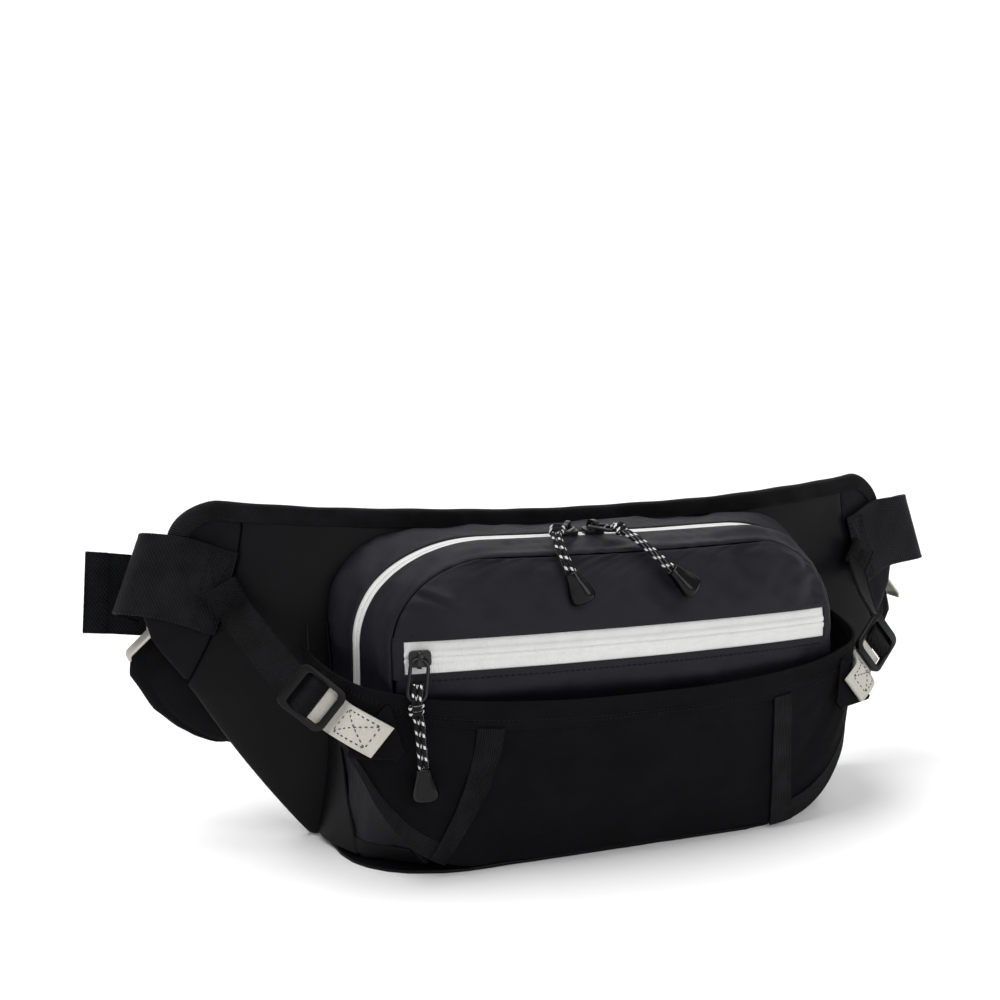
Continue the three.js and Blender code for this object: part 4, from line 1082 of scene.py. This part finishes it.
for side, sign in SIDES:
    centre = 0.5 + (0.116 if sign < 0 else 0.125) * sign
    lean = -0.036 if sign < 0 else -0.01  # both curve the same way, as the cloth is pulled askew

    def tape_sheet(u, v, centre=centre, lean=lean):
        level = lerp(0.0, BAND_SHARE + 0.004, v)
        middle = centre + lean * (1 - level) ** 2
        return pocket(lerp(middle - 0.0115, middle + 0.0115, u), level)

    sewn(f"pocket_{side}_ribbed_tape", tape_sheet, 16, 90, 1.4, ridge_relief, tape, "black_webbing",
         f"pocket_tape_{side}", sheet=False, base=2.0)

    start, stop = (0.1, 0.352) if sign < 0 else (0.9, 0.622)

    def edge_sheet(u, v, start=start, stop=stop):
        return pocket(lerp(start, stop, u), lerp(-0.005, 0.125, v))

    sewn(f"pocket_{side}_foot_binding", edge_sheet, 90, 14, 1.4,
         lambda layer: 0.22 * np.exp(-((layer.end / 0.9) ** 2)) - rolled(layer.end, 0.6, 0.35),
         tape, "black_webbing", f"pocket_edge_binding_{side}", sheet=False, out=-sign, base=1.3)


# ---------- webbing ----------

def webbing_relief(layer):
    """Woven webbing: two proud selvedges and a slightly hollow middle."""
    return 0.24 * np.exp(-(((layer.end - 1.0) / 0.8) ** 2)) - rolled(layer.end, 0.6, 0.4) - 0.08


def strap(name, stations, width, thick, columns, material, slot, *nodes,
          body="pack", out=1, relief=webbing_relief):
    """A strap along stations, which are points with the way across there. Gives the piece and its surface."""
    centre, across = Curve([s[0] for s in stations]), Curve([s[1] for s in stations])

    def surface(u, v):
        return centre(u) + unit(across(u)) * (v - 0.5) * width

    piece = panel(name, surface, columns, 16, thick, relief, out=out, base=thick / 2)
    place(piece, material, slot, *nodes, body=body)
    return piece, surface


# The compression strap's line on the right: the end tab, the lock's top and foot, and the patch.
STRAP_LINE = ((215, 21, 147), (193.6, -50.1, 112.2), (172.6, -58.6, 94), (150, -78, 81))

for side, sign in SIDES:
    top, lock_top, lock_foot, patch_at = (vec(sign * x, y, z) for x, y, z in STRAP_LINE)
    down = unit(lock_foot - lock_top)
    outward = vec(sign * 0.3, -0.93, 0.2)
    across = unit(np.cross(down, outward))
    normal = unit(np.cross(across, down))
    lock_middle = (lock_top + lock_foot) / 2

    tab_down = unit(vec(-sign * 0.5, -0.1, -0.86))
    tab_out = unit(vec(sign * 0.3, -1, 0))
    tab_across = unit(np.cross(tab_down, tab_out))
    tab_out = unit(np.cross(tab_across, tab_down))
    tab_at = top + unit(vec(sign * 0.3, -1, 0)) * 7.8

    # Folded end tab, doubled and bartacked.
    stations = [(tab_at + tab_down * k - tab_out * 0.2, tab_across) for k in (-9, -4, 0, 4, 9)]
    _, tab_surface = strap(f"strap_{side}_end_tab", stations, STRAP + 1.5, 3.4, 26, webbing, "black_webbing",
                           f"strap_end_tab_{side}")
    rows = []
    for k in range(7):
        v0, v1 = (0.12, 0.3) if k % 2 else (0.3, 0.12)
        u = 0.16 + 0.1 * k
        rows.append(seam_run(tab_surface, (u, v0), (u + 0.1, v1), -1, 2.0, 8))
        rows.append(seam_run(tab_surface, (u, 1 - v0), (u + 0.1, 1 - v1), -1, 2.0, 8))
    for v in (0.42, 0.5, 0.58):
        rows.append(seam_run(tab_surface, (0.2, v), (0.8, v), -1, 2.0, 10))
    stitches(f"strap_{side}_tab_thread", rows, thread, gap=0.5, length=1.8)

    # The strap, over the lock's upper bar, under the middle bar.
    strap_top = tab_at + tab_down * 6.5
    strap_foot = lock_top + down * 2.2 - normal * 3.1
    middle = lerp(strap_top, strap_foot, 0.5) + vec(-sign * 1.5, -1, -3)
    stations = [
        (strap_top, tab_across), (middle, lerp(tab_across, across, 0.5)), (strap_foot, across),
    ]
    through_lock = ((-8.4, -1.6), (-5.0, 1.6), (-0.9, 2.6), (2.8, 1.2), (2.4, -2.4))
    stations += [(lock_middle + down * along + normal * off, across) for along, off in through_lock]
    strap(f"compression_{side}_webbing", stations, STRAP, 1.5, 80, webbing, "black_webbing",
          f"compression_strap_{side}")

    # The pale tab: round the lock's lower bar and down to the patch.
    stations = [
        (lock_middle + down * 4.6 - normal * 2.6, across),
        (lock_middle + down * 8 - normal * 2.9, across),
        (lock_foot - down * 1 - normal * 3, across),
        (lock_foot + down * 3.6 - normal * 1.8, across),
        (lerp(lock_foot, patch_at, 0.45) + normal * 3.4, across),
        (patch_at, across),
    ]
    _, tab_surface = strap(f"pale_{side}_tab", stations, STRAP, 2.0, 60, cream, "cream_webbing",
                           f"pale_tab_{side}")
    box_run = [(0.66, 0.14), (0.93, 0.14), (0.93, 0.86), (0.66, 0.86), (0.66, 0.14), (0.93, 0.86)]
    rows = [seam_run(tab_surface, a, b, -1, 1.1, 14) for a, b in zip(box_run, box_run[1:])]
    rows.append(seam_run(tab_surface, (0.66, 0.86), (0.93, 0.14), -1, 1.1, 14))
    stitches(f"pale_{side}_tab_thread", rows, tab_thread, slot="cream_webbing", length=2.0, gap=0.9,
             radius=0.42)

    # The patch under the tab.
    under = patch_at - normal * 3.9

    def patch_sheet(u, v, under=under, across=across, down=down):
        width = between([(0, 17), (0.12, 17.5), (0.85, 5), (1, 3.5)], 1 - v)
        return under + across * (2 * u - 1) * width + down * lerp(13, -11, v)

    sewn(f"corner_{side}_patch", patch_sheet, 30, 24, 1.2,
         lambda layer: -rolled(layer.edge, 1.6, 0.7) - 0.3 * np.exp(-(((layer.edge - 2.6) / 0.5) ** 2)),
         stretch, "stretch_black", f"corner_patch_{side}", sheet=False,
         out=1 if np.cross(across, -down) @ normal > 0 else -1, base=0.8)


# ---------- belt ----------

ROLL = 15.0


def tilt(degrees, sign):
    angle = math.radians(degrees)
    return vec(-sign * math.sin(angle), 0, math.cos(angle))


def belt_stations(sign, reach):
    tip_x, tip_y = 263 + reach, back_y(258, 158) - 3
    on_wing = ((216.5, 148.8), (224, 151), (233, 154.3), (246, 158.2))
    stations = [(vec(sign * x, back_y(x, z) - 3.2, z), tilt(17, sign)) for x, z in on_wing]
    for degrees, lift in ((-60, 4.5), (-20, 4.0), (20, 1.5), (60, -2.5), (95, -6.5)):
        angle = math.radians(degrees)
        x, y = tip_x - 2 + ROLL * math.cos(angle), tip_y + ROLL + ROLL * math.sin(angle)
        stations.append((vec(sign * x, y, 156 + lift), tilt(20, sign)))
    return stations


BUCKLE_Y, BUCKLE_Z = 88.0, 130.0
upright = vec(0, 0, 1)


def rear_run(first, sign, bar_x):
    start = first + vec(-sign * 2.2, 0, 0)
    return [
        (start, tilt(18, sign)),
        (vec(sign * 215, start[1] + 1.5, 144), tilt(12, sign)),
        (vec(sign * 150, BUCKLE_Y - 6, 140), tilt(6, sign)),
        (vec(sign * 95, BUCKLE_Y - 1.5, 133), upright),
        (vec(bar_x, BUCKLE_Y, BUCKLE_Z), upright),
    ]


# The box and cross of thread on the wing: u and v from one corner to the other.
BOX = ((0.03, 0.03, 0.06, 0.94), (0.22, 0.22, 0.06, 0.94), (0.03, 0.22, 0.06, 0.94),
       (0.03, 0.22, 0.94, 0.06), (0.03, 0.22, 0.06, 0.06), (0.03, 0.22, 0.94, 0.94))

for side, sign, reach, bar_x in (("left", -1, -6, -60.0), ("right", 1, 10, 56.0)):
    stations = belt_stations(sign, reach)
    _, surface = strap(f"belt_{side}_on_wing", stations, BELT, 1.7, 110, belt_cloth, "black_webbing",
                       f"belt_wing_{side}", out=sign)
    rows = [seam_run(surface, (u0, v0), (u1, v1), sign, 1.2, 30) for u0, u1, v0, v1 in BOX]
    stitches(f"belt_{side}_box_thread", rows, thread)

    stations = rear_run(stations[-1][0], sign, bar_x)
    piece, _ = strap(f"belt_{side}_behind", stations, BELT, 1.7, 90, belt_cloth, "black_webbing",
                     f"belt_rear_{side}", body=None if side == "left" else "pack", out=sign)
    if side == "left":  # this half goes with the plug when the buckle is pulled apart; here it is left out of any body, with its transform baked in
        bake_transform(piece)

    def tip_sheet(u, v, sign=sign):
        z = lerp(109, 133, v)
        x = between(PAD_TIP, z) + 1.2
        return vec(sign * (x + 0.5 * u), lerp(back_y(x, z) + 2.0, back_y(x, z) + 17.0, u), z)

    sewn(f"wing_{side}_tip_binding", tip_sheet, 12, 30, 1.2, lambda layer: 0.5 - rolled(layer.edge, 1.0, 0.5),
         cream, "cream_webbing", f"wing_tip_binding_{side}", sheet=False, out=sign, base=0.7)


# The free tail of the belt, which ends in a folded hem.
TAIL_END = -293.0
tail_stations = [
    (vec(-57, BUCKLE_Y + 4.4, BUCKLE_Z), upright),
    (vec(-95, BUCKLE_Y + 3.6, 131), upright),
    (vec(-170, BUCKLE_Y + 2, 134), tilt(2, -1)),
    (vec(-240, BUCKLE_Y, 136), tilt(4, -1)),
    (vec(TAIL_END + 13, BUCKLE_Y - 3, 141.5), tilt(4, -1)),
]
strap("belt_free_tail", tail_stations, BELT, 1.7, 80, belt_cloth, "black_webbing", "belt_tail",
      body="buckle_plug")
hem_stations = [
    (vec(TAIL_END + 13.5, BUCKLE_Y - 3, 141.5), tilt(4, -1)),
    (vec(TAIL_END + 6, BUCKLE_Y - 3.6, 142.5), tilt(4, -1)),
    (vec(TAIL_END, BUCKLE_Y - 4, 143.3), tilt(4, -1)),
]


def hem_relief(layer):
    return webbing_relief(layer) - rolled(layer.to_right, 1.8, 1.5)


_, hem_surface = strap("belt_tail_folded_hem", hem_stations, BELT, 3.6, 26, belt_cloth, "black_webbing",
                       "belt_tail_hem", body="buckle_plug", relief=hem_relief)
hem_rows = [seam_run(hem_surface, (u, 0.05), (u, 0.95), out, 2.1, 30) for out in (1, -1) for u in (0.2, 0.42)]
stitches("belt_tail_hem_thread", hem_rows, thread, body="buckle_plug")


# ---------- seam threads ----------

stitches("front_zip_edge_thread", [  # on the folded edges above and below the front zip
    seam_run(upper_front, (0.03, 0.07), (0.97, 0.07), 1, 1.75, 120),
    seam_run(lower_front, (0.03, 0.962), (0.97, 0.962), 1, 1.25, 120),
], thread)
stitches("pocket_band_thread", [
    seam_run(band_sheet, (0.01, 0.25), (0.99, 0.25), 1, 1.05, 200),
    seam_run(band_sheet, (0.01, 0.36), (0.99, 0.36), 1, 1.15, 200),
], thread, length=1.9, gap=0.8, radius=0.3)
stitches("binding_thread", [seam_run(binding, (0.02, 0.1), (0.98, 0.1), 1, 0.12, 220)], thread)


# ---------- zip sliders and pulls ----------

def body_from_cad(name, node, material, slot, body, width):
    """A CAD solid with its edges rounded and its faces smoothed, in place of the faceted one."""
    mesh = frame["nodes"][node].data.copy()
    mesh.name = name
    mesh.materials.clear()
    piece = linked(bpy.data.objects.new(name, mesh))
    piece.modifiers.new("weld", "WELD").merge_threshold = 2e-5
    flat = piece.modifiers.new("flat", "DECIMATE")
    flat.decimate_type = "DISSOLVE"
    flat.angle_limit = math.radians(3)
    bevel = piece.modifiers.new("bevel", "BEVEL")
    bevel.width = width * 0.001
    bevel.segments = 3
    bevel.limit_method = "ANGLE"
    bevel.angle_limit = math.radians(28)
    bevel.use_clamp_overlap = True
    apply_modifiers(piece)
    piece.data.shade_smooth()
    piece.data.set_sharp_from_angle(angle=math.radians(40))
    place(piece, material, slot, node, body=body)


for lock in ("ladder_lock_left", "ladder_lock_right"):
    body_from_cad(f"{lock}_frame", lock, plastic, "black_plastic", lock, 1.15)

for body in ("front_slider", "main_slider_left", "main_slider_right"):
    body_from_cad(f"{body}_body", body, metal, "dark_metal", body, 0.55)

RING_WIDTH, RING_LENGTH, RING_WIRE = 12.0, 25.0, 1.1


def pull_ring(name):
    """A stadium-shaped wire ring through the slider's bridge."""
    joint = joints[f"{name}_swing"]
    pivot, way = bag_point(joint["pos_m"]), unit(vec(*PULLS[name][0]))
    across = unit(vec(*joint["axis"]))
    across = unit(across - way * (across @ way))
    radius = RING_WIDTH / 2 - RING_WIRE
    path = []
    for centre, turn in ((radius - 0.2, -1), (RING_LENGTH - 2.4 - radius, 1)):
        for angle in np.linspace(0, math.pi, 13):
            path.append(pivot + way * (centre + turn * radius * math.sin(angle))
                        - turn * across * radius * math.cos(angle))
    ring = tube(f"{name}_wire_ring", path, RING_WIRE, 12, closed_path=True)
    place(ring, metal, "dark_metal", f"{name}_ring", body=name)


# The moulded cord end: distance along it, half width and half thickness.
END_SHAPE = (
    (0, 3.2, 2.9), (0.4, 3.9, 3.4), (2.4, 4.1, 3.6), (5.0, 4.7, 4.0), (8.0, 5.7, 4.4), (11.0, 6.6, 4.8),
    (13.6, 7.2, 5.1), (15.2, 7.4, 5.1), (16.7, 7.0, 4.8), (17.8, 6.0, 4.2), (18.5, 4.2, 3.1),
    (18.8, 1.9, 1.5),
)
SQUARING = 0.78  # below 1, the round sections turn towards rounded rectangles


def cord_end(name, path):
    """Moulded end: a collar, then a flared body with two flat faces and a pressed panel."""
    way = unit(path[-1] - path[-8])
    hinge = vec(*joints[f"{name}_swing"]["axis"])
    broad = unit(hinge - way * (hinge @ way))
    flat = unit(np.cross(broad, way))
    start = path[-1] - way * 2.0
    sections = []
    for along, wide, thick in END_SHAPE:
        loop = []
        for angle in np.arange(28) * math.pi / 14:
            c, s = math.cos(angle), math.sin(angle)
            x = wide * math.copysign(abs(c) ** SQUARING, c)
            y = thick * math.copysign(abs(s) ** SQUARING, s)
            if 4 < along < 16 and abs(x) < wide * 0.5:
                y *= 0.86
            loop.append(start + way * along + broad * x + flat * y)
        sections.append(loop)
    piece = swept(f"{name}_moulded_end", [start + way * a for a, _, _ in END_SHAPE], sections)
    bevel = piece.modifiers.new("round", "BEVEL")
    bevel.width, bevel.segments = 0.0003, 2
    bevel.limit_method, bevel.angle_limit = "ANGLE", math.radians(35)
    place(piece, gloss, "black_plastic", f"{name}_cord_end", body=name)
    return piece


for name, (cord, path, length) in cords.items():
    pull_ring(name)
    end = cord_end(name, path)
    tuple(metres(path[0]))
    [tuple(p) for p in metres(path)]


# ---------- buckle ----------

for node, body, width in (("buckle_female", "pack", 1.2), ("buckle_male", "buckle_plug", 1.0),
                          ("buckle_prong_upper", "buckle_prong_upper", 0.9),
                          ("buckle_prong_lower", "buckle_prong_lower", 0.9)):
    body_from_cad(f"{node}_moulding", node, plastic, "black_plastic", body, width)

for node in ("main_zip_coil", "front_zip_coil"):
    coil = frame["nodes"][node]
    coil.data.materials.clear()
    coil.data.materials.append(white_zip)


# ---------- floor, light ----------

FLOOR = 6.0  # metres from the middle to each side
floor = linked(bpy.data.objects.new("floor", bpy.data.meshes.new("floor")))
corners = [(x * FLOOR, y * FLOOR, 0) for x, y in ((-1, -1), (1, -1), (1, 1), (-1, 1))]
floor.data.from_pydata(corners, [], [(0, 1, 2, 3)])
floor_shade = Shade("pale floor", (0.93, 0.93, 0.93), 0.6, 0.5)
floor_shade.tint(floor_shade.noise(3.0, 2.0), 0.3, 0.7, 0.995, 1.0)
floor.data.materials.append(floor_shade.material)


def studio_world():
    """White where the camera looks, and less light from everywhere else."""
    world = bpy.data.worlds.new("studio")
    bpy.context.scene.world = world
    world.use_nodes = True
    tree = world.node_tree
    background = tree.nodes["Background"]
    background.inputs[0].default_value = (1, 1, 1, 1)
    coordinates = tree.nodes.new("ShaderNodeTexCoord")
    facing = tree.nodes.new("ShaderNodeVectorMath")
    facing.operation = "DOT_PRODUCT"
    facing.inputs[1].default_value = tuple(looking)
    spread = tree.nodes.new("ShaderNodeMapRange")
    spread.interpolation_type = "SMOOTHSTEP"
    for key, value in (("From Min", 0.35), ("From Max", 0.85), ("To Min", 0.42), ("To Max", 1.12)):
        spread.inputs[key].default_value = value
    tree.links.new(coordinates.outputs["Generated"], facing.inputs[0])
    tree.links.new(facing.outputs["Value"], spread.inputs["Value"])
    tree.links.new(spread.outputs["Result"], background.inputs[1])


studio_world()
bpy.context.scene.view_settings.view_transform = "Standard"


def area_light(name, place_at, aim, size, power):
    light = linked(bpy.data.objects.new(name, bpy.data.lights.new(name, "AREA")))
    light.data.shape = "RECTANGLE"
    light.data.size, light.data.size_y = size
    light.data.energy = power
    light.location = place_at
    light.rotation_euler = (Vector(aim) - Vector(place_at)).to_track_quat("-Z", "Y").to_euler()


sun = bpy.data.objects.new("overhead_light", bpy.data.lights.new("overhead_light", "SUN"))
sun.data.energy = 2.7
sun.data.angle = math.radians(48)
sun.rotation_euler = (Vector((-0.26, 0.16, 1.0))).to_track_quat("Z", "Y").to_euler()
bpy.context.scene.collection.objects.link(sun)
area_light("front_softbox", (0.35, -1.7, 1.0), (0, 0, 0.1), (1.4, 1.0), 17)
